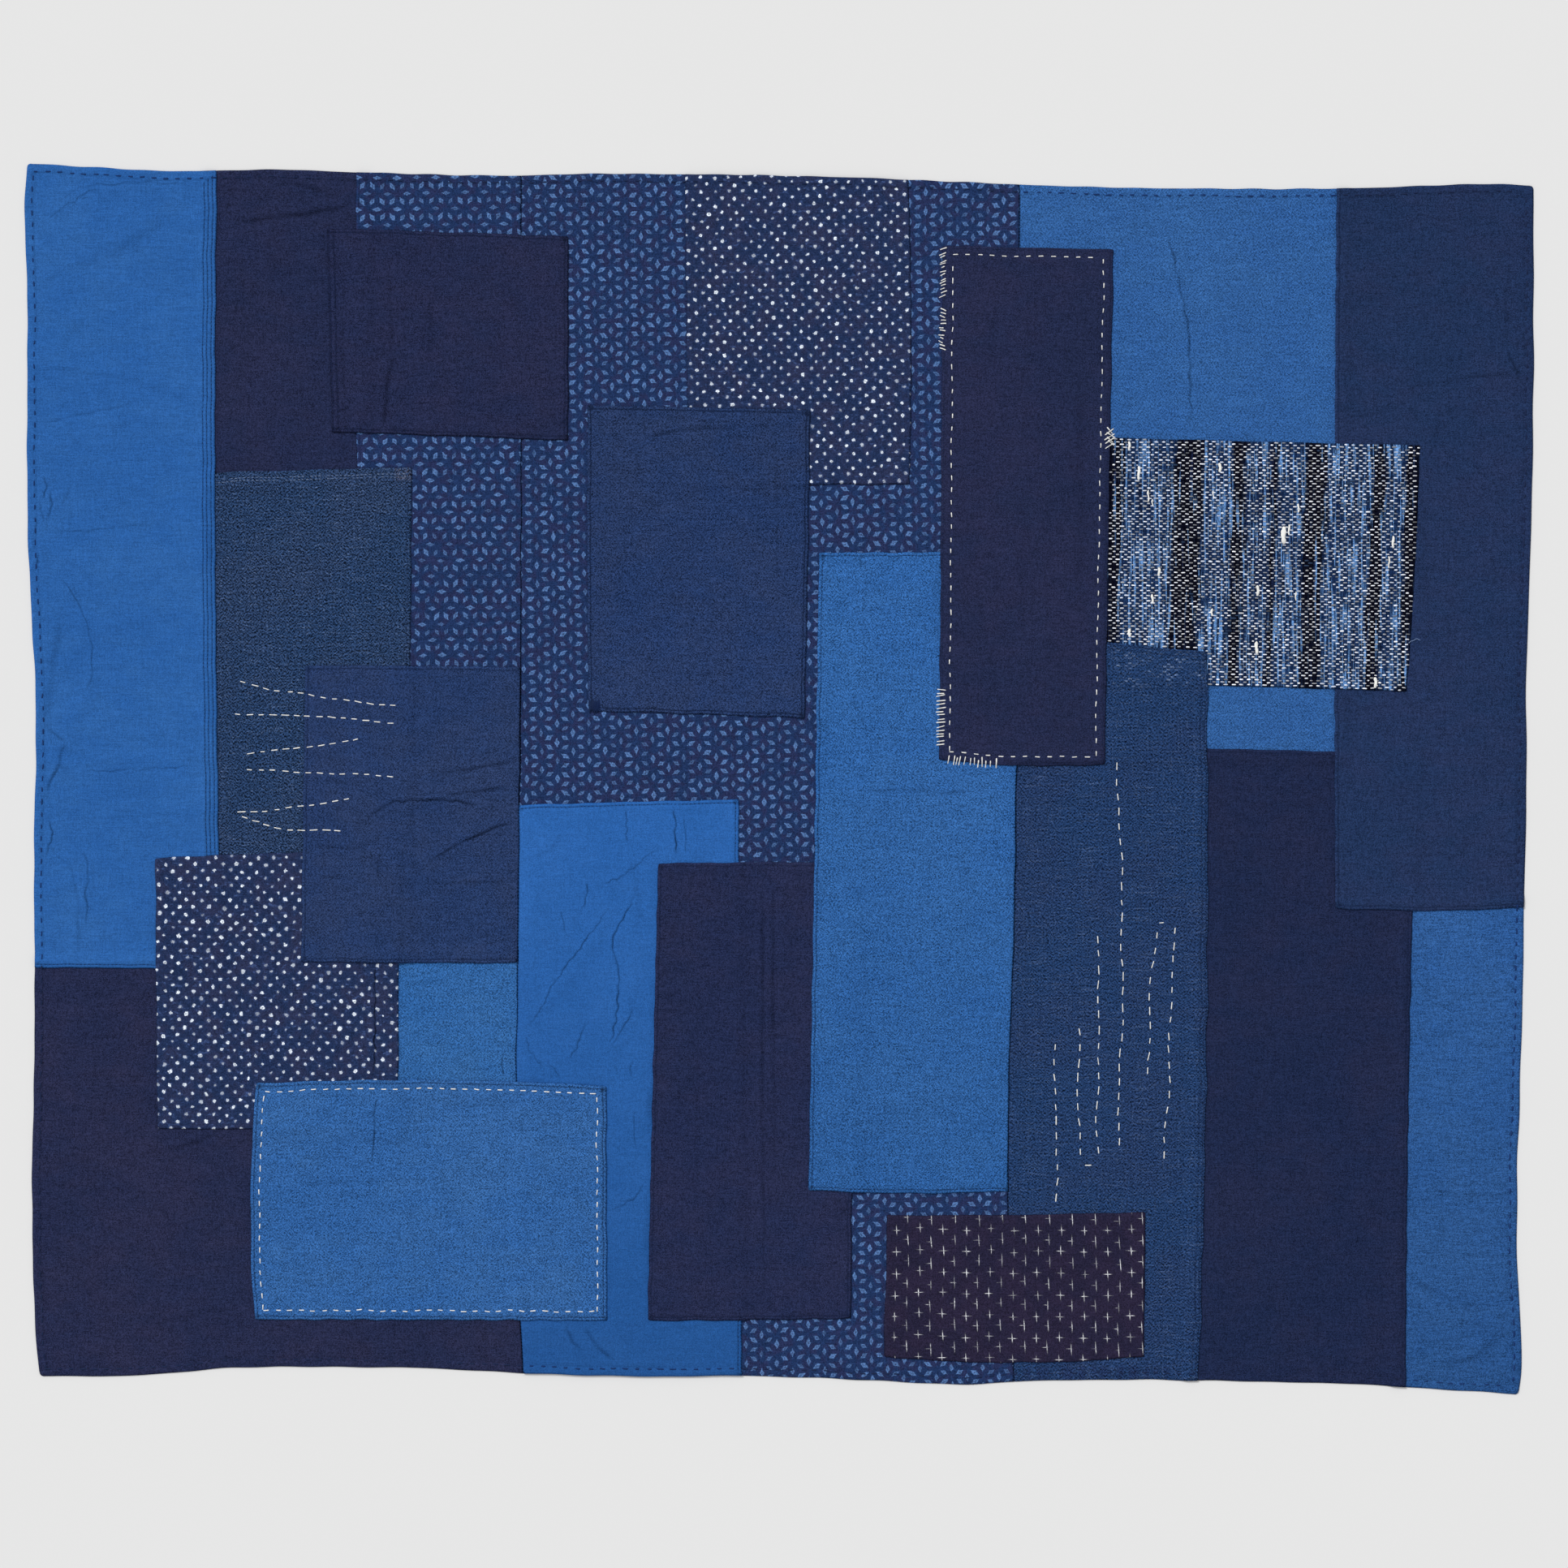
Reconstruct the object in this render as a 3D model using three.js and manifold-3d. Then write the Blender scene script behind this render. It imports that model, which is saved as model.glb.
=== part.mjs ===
// A sashiko patchwork tablecloth, lying flat with its underside on z = 0.
// Millimetres, +X to the right, +Y to the far side, +Z up. The origin is under the middle of the cloth.
//
// The ground of the cloth is pieced from lengths of indigo cotton, and squares and strips of other
// cottons are laid over it and sewn down. Each piece is cut from its own sheet. It lies on whatever
// is under it, comes down off the edges of the pieces below, and rises in its own creases.
import * as THREE from "three";
import { ConvexGeometry } from "three/addons/geometries/ConvexGeometry.js";
import { mergeVertices } from "three/addons/utils/BufferGeometryUtils.js";
import Module from "manifold-3d";

const wasm = await Module();
wasm.setup();

// ---- driving sizes ---------------------------------------------------------------------------
const SHEET = 1.0; // thickness of one layer of cloth
const GAP = 0.3; // air between two layers, and across a plain seam
const CLEAR = 2.0; // a layer stays up this far past the edge of the one below
const RAMP = 8.0; // and then comes down to the next level over this width
const SNAP = 4.0; // the lines of the drape lie on multiples of this
const EDGE_STEP = 45.0; // spacing of the points along a cut edge
const TALL = 40.0; // height of the cutting column, more than the whole stack
const ROOT = 0.2; // a crease's ridge starts this far inside its sheet
const COTTON = { roughness: 0.92, metalness: 0.0 };

// ---- hems and plain seams: each is a line through a few stations ------------------------------
const station = (along, at) => ({ along, at });
const LINES = {
  // y of the far hem, along x
  top: [
    station(-556, 455), station(-499.5, 452), station(-456, 449.5), station(-365, 450.5),
    station(-312, 448.5), station(-198, 446), station(-144.5, 447.5), station(0, 446),
    station(97, 443), station(178, 439.5), station(264, 437), station(412, 436.5),
    station(475, 438.5), station(532, 440), station(558, 438.5),
  ],
  // y of the near hem, along x
  bottom: [
    station(-546.5, -441.5), station(-499.5, -442), station(-456, -440), station(-402, -435.5),
    station(-336, -435), station(-259, -436), station(-191, -439.5), station(-96.5, -442),
    station(-28.5, -441.5), station(60, -444.5), station(135, -448), station(182.5, -445.5),
    station(264, -444.5), station(360, -446), station(432, -448), station(494, -452),
    station(547, -455),
  ],
  // x of the left hem, along y
  left: [
    station(-442, -546.5), station(-420.5, -549), station(-386, -551), station(-296, -552.5),
    station(-222.5, -551), station(-138.5, -550.5), station(-54.5, -551), station(35.5, -549.5),
    station(89.5, -551), station(153.5, -554.5), station(215.5, -556), station(362.5, -556),
    station(418.5, -558), station(455, -556),
  ],
  // x of the right hem, along y
  right: [
    station(-455, 547), station(-438.5, 549), station(-415, 549), station(-354.5, 546),
    station(-296.5, 546), station(-228.5, 548), station(-163, 550), station(-95.5, 551),
    station(-0.5, 553), station(59.5, 552.5), station(131.5, 554.5), station(191.5, 556.5),
    station(287.5, 558), station(438.5, 558),
  ],
  // x of the two long seams that join the three lengths of the ground, along y
  seam_left: [
    station(-440.5, -189), station(-401, -191), station(-222.5, -194), station(-135.5, -193),
    station(-19.5, -192), station(82.5, -191), station(275.5, -190.5), station(448, -190.5),
  ],
  seam_right: [
    station(-446.5, 174), station(-384.5, 172), station(-312.5, 169.5), station(-222.5, 170),
    station(-163, 172), station(-106, 174), station(9.5, 175.5), station(167.5, 177),
    station(440, 178),
  ],
};

// ---- the pieces, from the lowest to the uppermost ---------------------------------------------
// A side is the name of a line, or three places along the cut: its start, its middle and its end.
// left and right run from the far end to the near end, top and bottom from left to right.
const PIECES = [
  // ground, pieced edge to edge or with a narrow lap
  { name: "top_navy", colour: 0x252c49, left: [-422.8, -422.8, -422.8], right: [-305, -305, -305], top: "top", bottom: [215.7, 215.7, 215.7] },
  { name: "hempleaf_left", colour: 0x2b3e63, left: [-312.6, -311.8, -311], right: "seam_left", top: "top", bottom: [-134.1, -134.1, -134.1] },
  { name: "lower_navy", colour: 0x282d4a, left: "left", right: "seam_left", top: [-134.5, -134.5, -134.5], bottom: "bottom" },
  { name: "hempleaf_centre", colour: 0x2d4065, left: "seam_left", right: "seam_right", top: "top", bottom: "bottom" },
  { name: "top_blue", colour: 0x305b97, left: "seam_right", right: [418.4, 418.4, 415.4], top: "top", bottom: [15.3, 14.7, 14.1] },
  { name: "right_blue", colour: 0x2c558e, left: [464, 457.5, 456], right: "right", top: [-90.3, -90.3, -90.3], bottom: "bottom" },
  { name: "dark_right", colour: 0x212945, left: [311, 308.6, 302.6], right: [471.8, 465.9, 463.4], top: [22.5, 20.7, 18.6], bottom: "bottom" },
  { name: "right_navy", colour: 0x243355, left: [412.4, 410.8, 411.4], right: "right", top: "top", bottom: [-95.7, -97.5, -95.1] },
  { name: "gauze_left", colour: 0x2a3c5e, left: [-422.8, -422.8, -422.8], right: [-271.6, -272.8, -274], top: [226.2, 228.3, 230.4], bottom: [-134.1, -134.1, -134.1] },
  { name: "left_blue", colour: 0x2c5fa2, left: "left", right: [-415.6, -416.6, -412], top: "top", bottom: [-139.5, -140.1, -140.7] },
  // squares and strips laid over it
  { name: "small_chambray", colour: 0x31609c, left: [-289, -289, -289], right: "seam_left", top: [-127.5, -127.5, -127.5], bottom: [-231.9, -231.9, -231.9] },
  { name: "dots_lower", colour: 0x3a4a6d, left: [-461, -460.4, -459.4], right: [-281, -281.2, -281.8], top: [-58.5, -54.9, -51.9], bottom: [-258.9, -258.9, -258.9] },
  { name: "dark_square", colour: 0x262c49, left: [-333.8, -332.2, -330.4], right: [-155.8, -155.8, -155.8], top: [406.8, 404.1, 400.8], bottom: [256.2, 253.5, 249.9] },
  { name: "creased_navy", colour: 0x283960, left: [-350.2, -351.8, -353], right: "seam_left", top: [83.7, 83.4, 82.5], bottom: [-135.3, -136.2, -135.9] },
  { name: "dots_upper", colour: 0x384462, left: [-69.4, -68.2, -66.8], right: [95.6, 97.8, 96.4], top: "top", bottom: [217.5, 217.5, 217.5] },
  { name: "mid_navy", colour: 0x273960, left: [-141.4, -141.8, -140.8], right: [23, 21.4, 19], top: [276, 274.5, 272.4], bottom: [50.1, 47.7, 44.7] },
  { name: "wrinkled_blue", colour: 0x2d5b9a, left: "seam_left", right: [-29.8, -28.6, -27.4], top: [-19.5, -17.1, -15.3], bottom: "bottom" },
  { name: "dark_tall", colour: 0x242b4a, left: [-89.2, -93.4, -97], right: [54.8, 54.2, 53.4], top: [-62.7, -61.8, -61.8], bottom: [-400.5, -400.2, -399.1] },
  { name: "tall_chambray", colour: 0x305e9b, left: [29.6, 26, 21.8], right: "seam_right", top: [167.1, 167.4, 167.7], bottom: [-304.2, -306.6, -304.5] },
  { name: "bordered_chambray", colour: 0x325e9a, left: [-386.2, -390.6, -387.8], right: [-127.6, -127.4, -127], top: [-225.3, -222.6, -227.1], bottom: [-399.9, -400.2, -400.5] },
  { name: "striped_weave", colour: 0x525c71, left: [239, 239, 239], right: [473.8, 470.2, 464.2], top: [252.3, 249.3, 246.6], bottom: [71.7, 68.1, 64.5] },
  { name: "sheer_tall", colour: 0x273b62, left: "seam_right", right: [316, 316.6, 310.3], top: [107.7, 100.5, 93.6], bottom: "bottom" },
  { name: "bordered_dark", colour: 0x252c49, left: [121, 119.8, 118.4], right: [247.4, 244, 240.8], top: [394.2, 392.7, 391.5], bottom: [14.1, 9.6, 10.8] },
  { name: "kasuri", colour: 0x2a263c, left: [80, 78.8, 77.3], right: [270.8, 270.4, 269.6], top: [-322.5, -322.5, -320.1], bottom: [-427.5, -431.7, -427.2] },
];

// ---- the main creases: a low ridge from one end to the other, in one piece only ---------------
const FOLDS = [
  { piece: "left_blue", x0: -534, y0: 146.5, x1: -510, y1: 92, half: 9, rise: 1.6 },
  { piece: "left_blue", x0: -508.5, y0: 86.5, x1: -519, y1: 38, half: 9, rise: 1.6 },
  { piece: "left_blue", x0: -531, y0: 7, x1: -438, y1: 10, half: 6, rise: 1.0 },
  { piece: "left_blue", x0: -517.5, y0: -48, x1: -516, y1: -120, half: 9, rise: 1.8 },
  { piece: "left_blue", x0: -538, y0: 414, x1: -466, y1: 436, half: 6, rise: 1.0 },
  { piece: "wrinkled_blue", x0: -129, y0: -98, x1: -178, y1: -181.5, half: 8, rise: 1.8 },
  { piece: "wrinkled_blue", x0: -112, y0: -90.5, x1: -121, y1: -198.5, half: 7, rise: 1.6 },
  { piece: "wrinkled_blue", x0: -138, y0: -82, x1: -100, y1: -56, half: 6, rise: 1.2 },
  { piece: "creased_navy", x0: -256, y0: -21, x1: -204, y1: -22, half: 6, rise: 1.2 },
  { piece: "creased_navy", x0: -256, y0: -62, x1: -204, y1: -36, half: 7, rise: 1.4 },
  { piece: "top_blue", x0: 287, y0: 410, x1: 302.5, y1: 318, half: 7, rise: 1.2 },
  { piece: "right_blue", x0: 490, y0: -438, x1: 538, y1: -411, half: 7, rise: 1.2 },
  { piece: "dark_tall", x0: -5, y0: -90, x1: -6, y1: -355, half: 7, rise: 0.8 },
];

// ---- lines and outlines -----------------------------------------------------------------------
// A smooth line through its stations: cubic pieces with the slopes of the chords on either side.
function lineAt(stations, along) {
  const last = stations.length - 1;
  const t = THREE.MathUtils.clamp(along, stations[0].along, stations[last].along);
  let i = 0;
  while (i < last - 1 && t > stations[i + 1].along) i++;
  const slope = (k) => {
    const a = stations[Math.max(k - 1, 0)], b = stations[Math.min(k + 1, last)];
    return (b.at - a.at) / (b.along - a.along);
  };
  const a = stations[i], b = stations[i + 1], w = b.along - a.along, u = (t - a.along) / w;
  return (
    a.at * (1 + 2 * u) * (1 - u) ** 2 + b.at * u * u * (3 - 2 * u) +
    slope(i) * w * u * (1 - u) ** 2 - slope(i + 1) * w * u * u * (1 - u)
  );
}

// One side of a piece as a function of the place along it.
function sideOf(cut, from, to, inset) {
  if (typeof cut === "string") {
    const seam = cut.startsWith("seam") ? inset : 0;
    return (along) => lineAt(LINES[cut], along) + seam;
  }
  const [start, middle, end] = cut;
  return (along) => {
    const u = (along - from) / (to - from);
    return start * (1 - u) * (1 - 2 * u) + 4 * middle * u * (1 - u) - end * u * (1 - 2 * u);
  };
}

const middleOf = (cut, fallback) => (typeof cut === "string" ? fallback : cut[1]);

// The cut outline of a piece, counter-clockwise from its far left corner.
function outlineOf(piece) {
  const xL = middleOf(piece.left, lineAt(LINES[piece.left] ?? LINES.left, 0));
  const xR = middleOf(piece.right, lineAt(LINES[piece.right] ?? LINES.right, 0));
  const yT = middleOf(piece.top, lineAt(LINES.top, (xL + xR) / 2));
  const yB = middleOf(piece.bottom, lineAt(LINES.bottom, (xL + xR) / 2));
  const left = sideOf(piece.left, yT, yB, GAP / 2), right = sideOf(piece.right, yT, yB, -GAP / 2);
  const top = sideOf(piece.top, xL, xR, 0), bottom = sideOf(piece.bottom, xL, xR, 0);
  const corner = (side, end, x, y) => {
    for (let k = 0; k < 8; k++) { x = side(y); y = end(x); }
    return [x, y];
  };
  const [tlx, tly] = corner(left, top, xL, yT), [blx, bly] = corner(left, bottom, xL, yB);
  const [brx, bry] = corner(right, bottom, xR, yB), [trx, tryy] = corner(right, top, xR, yT);
  const points = [];
  const run = (a, b, place) => {
    const n = Math.max(2, Math.round(Math.abs(b - a) / EDGE_STEP));
    for (let k = 0; k < n; k++) points.push(new THREE.Vector2(...place(a + ((b - a) * k) / n)));
  };
  run(tly, bly, (y) => [left(y), y]);
  run(blx, brx, (x) => [x, bottom(x)]);
  run(bry, tryy, (y) => [right(y), y]);
  run(trx, tlx, (x) => [x, top(x)]);
  return points;
}

// ---- solids -------------------------------------------------------------------------------------
function solidOf(geometry) {
  geometry.deleteAttribute("normal");
  geometry.deleteAttribute("uv");
  const merged = mergeVertices(geometry, 1e-4);
  return new wasm.Manifold(
    new wasm.Mesh({
      numProp: 3,
      vertProperties: new Float32Array(merged.attributes.position.array),
      triVerts: new Uint32Array(merged.index.array),
    }),
  );
}

function geometryOf(solid) {
  const mesh = solid.getMesh(), n = mesh.numProp, place = new Float32Array(mesh.numVert * 3);
  for (let i = 0; i < mesh.numVert; i++) place.set(mesh.vertProperties.subarray(i * n, i * n + 3), i * 3);
  const geometry = new THREE.BufferGeometry();
  geometry.setAttribute("position", new THREE.BufferAttribute(place, 3));
  geometry.setIndex(new THREE.BufferAttribute(new Uint32Array(mesh.triVerts), 1));
  geometry.computeVertexNormals();
  return geometry;
}

const columnOf = (outline) =>
  solidOf(
    new THREE.ExtrudeGeometry(new THREE.Shape(outline), { depth: TALL, bevelEnabled: false })
      .translate(0, 0, -TALL / 2),
  );

// ---- the drape of one piece over those below ----------------------------------------------------
// Its underside is a height at each crossing of its own x and y lines. A cell of that net is two
// triangles, split along the diagonal that leaves its middle lower.
function netOf(xs, ys, level) {
  const heights = ys.map((y) => xs.map((x) => level(x, y)));
  const rising = (i, j) =>
    heights[j][i] + heights[j + 1][i + 1] <= heights[j][i + 1] + heights[j + 1][i];
  const cellOf = (lines, v) => {
    let k = 0;
    while (k < lines.length - 2 && v > lines[k + 1]) k++;
    return [k, THREE.MathUtils.clamp((v - lines[k]) / (lines[k + 1] - lines[k]), 0, 1)];
  };
  const heightAt = (x, y) => {
    const [i, u] = cellOf(xs, x), [j, v] = cellOf(ys, y);
    const a = heights[j][i], b = heights[j][i + 1], c = heights[j + 1][i + 1], d = heights[j + 1][i];
    if (rising(i, j)) return u > v ? a + (b - a) * u + (c - b) * v : a + (c - d) * u + (d - a) * v;
    return u + v < 1 ? a + (b - a) * u + (d - a) * v : c + (d - c) * (1 - u) + (b - c) * (1 - v);
  };
  return { xs, ys, heights, rising, heightAt };
}

// The closed sheet on that net, of even thickness.
function sheetOf({ xs, ys, heights, rising }) {
  const wide = xs.length, deep = ys.length, count = wide * deep;
  const place = new Float32Array(count * 6), index = [];
  const at = (i, j, layer) => layer * count + j * wide + i;
  ys.forEach((y, j) =>
    xs.forEach((x, i) => {
      for (const layer of [0, 1]) place.set([x, y, heights[j][i] + layer * SHEET], at(i, j, layer) * 3);
    }),
  );
  for (let j = 0; j < deep - 1; j++)
    for (let i = 0; i < wide - 1; i++) {
      const a = [i, j], b = [i + 1, j], c = [i + 1, j + 1], d = [i, j + 1];
      for (const [p, q, r] of rising(i, j) ? [[a, b, c], [a, c, d]] : [[a, b, d], [b, c, d]]) {
        index.push(at(...p, 1), at(...q, 1), at(...r, 1));
        index.push(at(...p, 0), at(...r, 0), at(...q, 0));
      }
    }
  const wall = (p, q) => {
    index.push(at(...p, 0), at(...q, 0), at(...q, 1), at(...p, 0), at(...q, 1), at(...p, 1));
  };
  for (let i = 0; i < wide - 1; i++) { wall([i, 0], [i + 1, 0]); wall([i + 1, deep - 1], [i, deep - 1]); }
  for (let j = 0; j < deep - 1; j++) { wall([wide - 1, j], [wide - 1, j + 1]); wall([0, j + 1], [0, j]); }
  const geometry = new THREE.BufferGeometry();
  geometry.setAttribute("position", new THREE.BufferAttribute(place, 3));
  geometry.setIndex(index);
  return solidOf(geometry);
}

// The low ridge of one crease, with its foot at height z: it runs out to a point at both ends.
function ridgeOf({ x0, y0, x1, y1, half, rise }, z) {
  const start = new THREE.Vector3(x0, y0, z), end = new THREE.Vector3(x1, y1, z);
  const run = end.clone().sub(start), side = new THREE.Vector3(-run.y, run.x, 0).setLength(half);
  const points = [start, end];
  for (const share of [0.25, 0.7]) {
    const foot = start.clone().addScaledVector(run, share);
    points.push(foot.clone().add(side), foot.clone().sub(side));
    points.push(foot.clone().setZ(z + ROOT + rise));
  }
  return solidOf(new ConvexGeometry(points));
}

// ---- lay the pieces down one after another ------------------------------------------------------
const cloth = new THREE.Group();
cloth.name = "tablecloth";
const laid = [];
const down = (v) => Math.floor(v / SNAP) * SNAP, up = (v) => Math.ceil(v / SNAP) * SNAP;

for (const piece of PIECES) {
  const column = columnOf(outlineOf(piece));
  const { min, max } = column.boundingBox();
  const laps = [];
  for (const below of laid) {
    const lap = column.intersect(below.column);
    if (lap.volume() <= 0) continue;
    const box = lap.boundingBox();
    laps.push({
      below,
      x0: down(box.min[0] - CLEAR), x1: up(box.max[0] + CLEAR),
      y0: down(box.min[1] - CLEAR), y1: up(box.max[1] + CLEAR),
    });
  }
  const linesOf = (axis, from, to) => {
    const first = down(min[axis]) - SNAP, last = up(max[axis]) + SNAP;
    const inside = laps.flatMap((lap) => [
      lap[from] - RAMP, lap[from], lap[to], lap[to] + RAMP,
      ...(axis ? lap.below.net.ys : lap.below.net.xs),
    ]);
    return [...new Set([first, ...inside.filter((v) => v > first && v < last), last])].sort((a, b) => a - b);
  };
  const level = (x, y) => {
    let z = 0;
    for (const lap of laps)
      if (x >= lap.x0 && x <= lap.x1 && y >= lap.y0 && y <= lap.y1)
        z = Math.max(z, lap.below.net.heightAt(x, y) + SHEET + GAP);
    return z;
  };
  const net = netOf(linesOf(0, "x0", "x1"), linesOf(1, "y0", "y1"), level);
  laid.push({ net, column });

  let sheet = sheetOf(net);
  for (const fold of FOLDS.filter((f) => f.piece === piece.name)) {
    const z = net.heightAt((fold.x0 + fold.x1) / 2, (fold.y0 + fold.y1) / 2);
    sheet = sheet.add(ridgeOf(fold, z + SHEET - ROOT)).subtract(ridgeOf(fold, z - ROOT));
  }
  const mesh = new THREE.Mesh(
    geometryOf(sheet.intersect(column)),
    new THREE.MeshStandardMaterial({ color: piece.colour, ...COTTON }),
  );
  mesh.name = piece.name;
  cloth.add(mesh);
}

export default cloth;
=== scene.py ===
"""The looks of a sashiko patchwork tablecloth that lies flat, seen from straight above.

Twenty-four cut pieces of indigo cotton, each a closed thin sheet with its turned edges, hems, seams and
creases, lie over one another. Running stitches, whip stitches, edge stitches and the floats of the slub
weave are real strands on top. Lengths in the tables are millimetres, the scene is in metres.
"""

import math
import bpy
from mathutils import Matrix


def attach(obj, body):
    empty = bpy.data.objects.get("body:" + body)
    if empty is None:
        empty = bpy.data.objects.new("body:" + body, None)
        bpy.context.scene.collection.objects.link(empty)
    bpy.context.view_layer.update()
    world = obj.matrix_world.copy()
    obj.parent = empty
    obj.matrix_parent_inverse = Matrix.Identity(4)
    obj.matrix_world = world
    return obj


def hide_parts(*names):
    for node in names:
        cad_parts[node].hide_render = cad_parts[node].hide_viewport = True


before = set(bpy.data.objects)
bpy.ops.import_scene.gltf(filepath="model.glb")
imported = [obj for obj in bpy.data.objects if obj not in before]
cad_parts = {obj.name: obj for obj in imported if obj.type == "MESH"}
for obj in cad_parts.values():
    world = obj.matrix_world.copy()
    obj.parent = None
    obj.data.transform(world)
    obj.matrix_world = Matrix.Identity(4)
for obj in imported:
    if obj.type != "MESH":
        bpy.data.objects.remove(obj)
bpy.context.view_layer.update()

import zlib

import bpy
import numpy as np
from mathutils import Vector
from mathutils.geometry import delaunay_2d_cdt

MM = 0.001

# ---- driving sizes, mm -------------------------------------------------------------------------
SHEET = 0.95  # thickness of a layer
LIFT = 1.3  # a piece lies this much above the one below it
CLEAR, RAMP = 0.8, 6.4  # it stays up this far past an edge below, and comes down over this width
RAMPS = {"bordered_chambray": 22.0, "tall_chambray": 22.0}  # pieces that come down more softly
GAP = 0.02  # width of a plain seam's valley at its root
TURN = 6.0  # width of a turned edge or hem
STITCH_IN = 2.5  # edge stitches run this far inside a turned edge
HEM_STITCH_IN = 5.4  # and the hem's stitches this far inside the hem


def rng_of(*words):
    return np.random.default_rng(zlib.crc32("/".join(map(str, words)).encode()))


# ---- hems and plain seams: (along, at) ---------------------------------------------------------
LINES = {
    "top": [(-556, 455), (-499.5, 452), (-456, 449.5), (-365, 450.5), (-312, 448.5), (-198, 446), (-144.5, 447.5),
            (0, 446), (97, 443), (178, 439.5), (264, 437), (412, 436.5), (475, 438.5), (532, 440), (558, 438.5)],
    "bottom": [(-546.5, -441.5), (-499.5, -442), (-456, -440), (-402, -435.5), (-336, -435), (-259, -436),
               (-191, -439.5), (-96.5, -442), (-28.5, -441.5), (60, -444.5), (135, -448), (182.5, -445.5),
               (264, -444.5), (360, -446), (432, -448), (494, -452), (547, -455)],
    "left": [(-442, -546.5), (-420.5, -549), (-386, -551), (-296, -552.5), (-222.5, -551), (-138.5, -550.5),
             (-54.5, -551), (35.5, -549.5), (89.5, -551), (153.5, -554.5), (215.5, -556), (362.5, -556),
             (418.5, -558), (455, -556)],
    "right": [(-455, 547), (-438.5, 549), (-415, 549), (-354.5, 546), (-296.5, 546), (-228.5, 548), (-163, 550),
              (-95.5, 551), (-0.5, 553), (59.5, 552.5), (131.5, 554.5), (191.5, 556.5), (287.5, 558), (438.5, 558)],
    "seam_left": [(-440.5, -189), (-401, -191), (-222.5, -194), (-135.5, -193), (-19.5, -192), (82.5, -191),
                  (275.5, -190.5), (448, -190.5)],
    "seam_right": [(-446.5, 174), (-384.5, 172), (-312.5, 169.5), (-222.5, 170), (-163, 172), (-106, 174),
                   (9.5, 175.5), (167.5, 177), (440, 178)],
}

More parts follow.
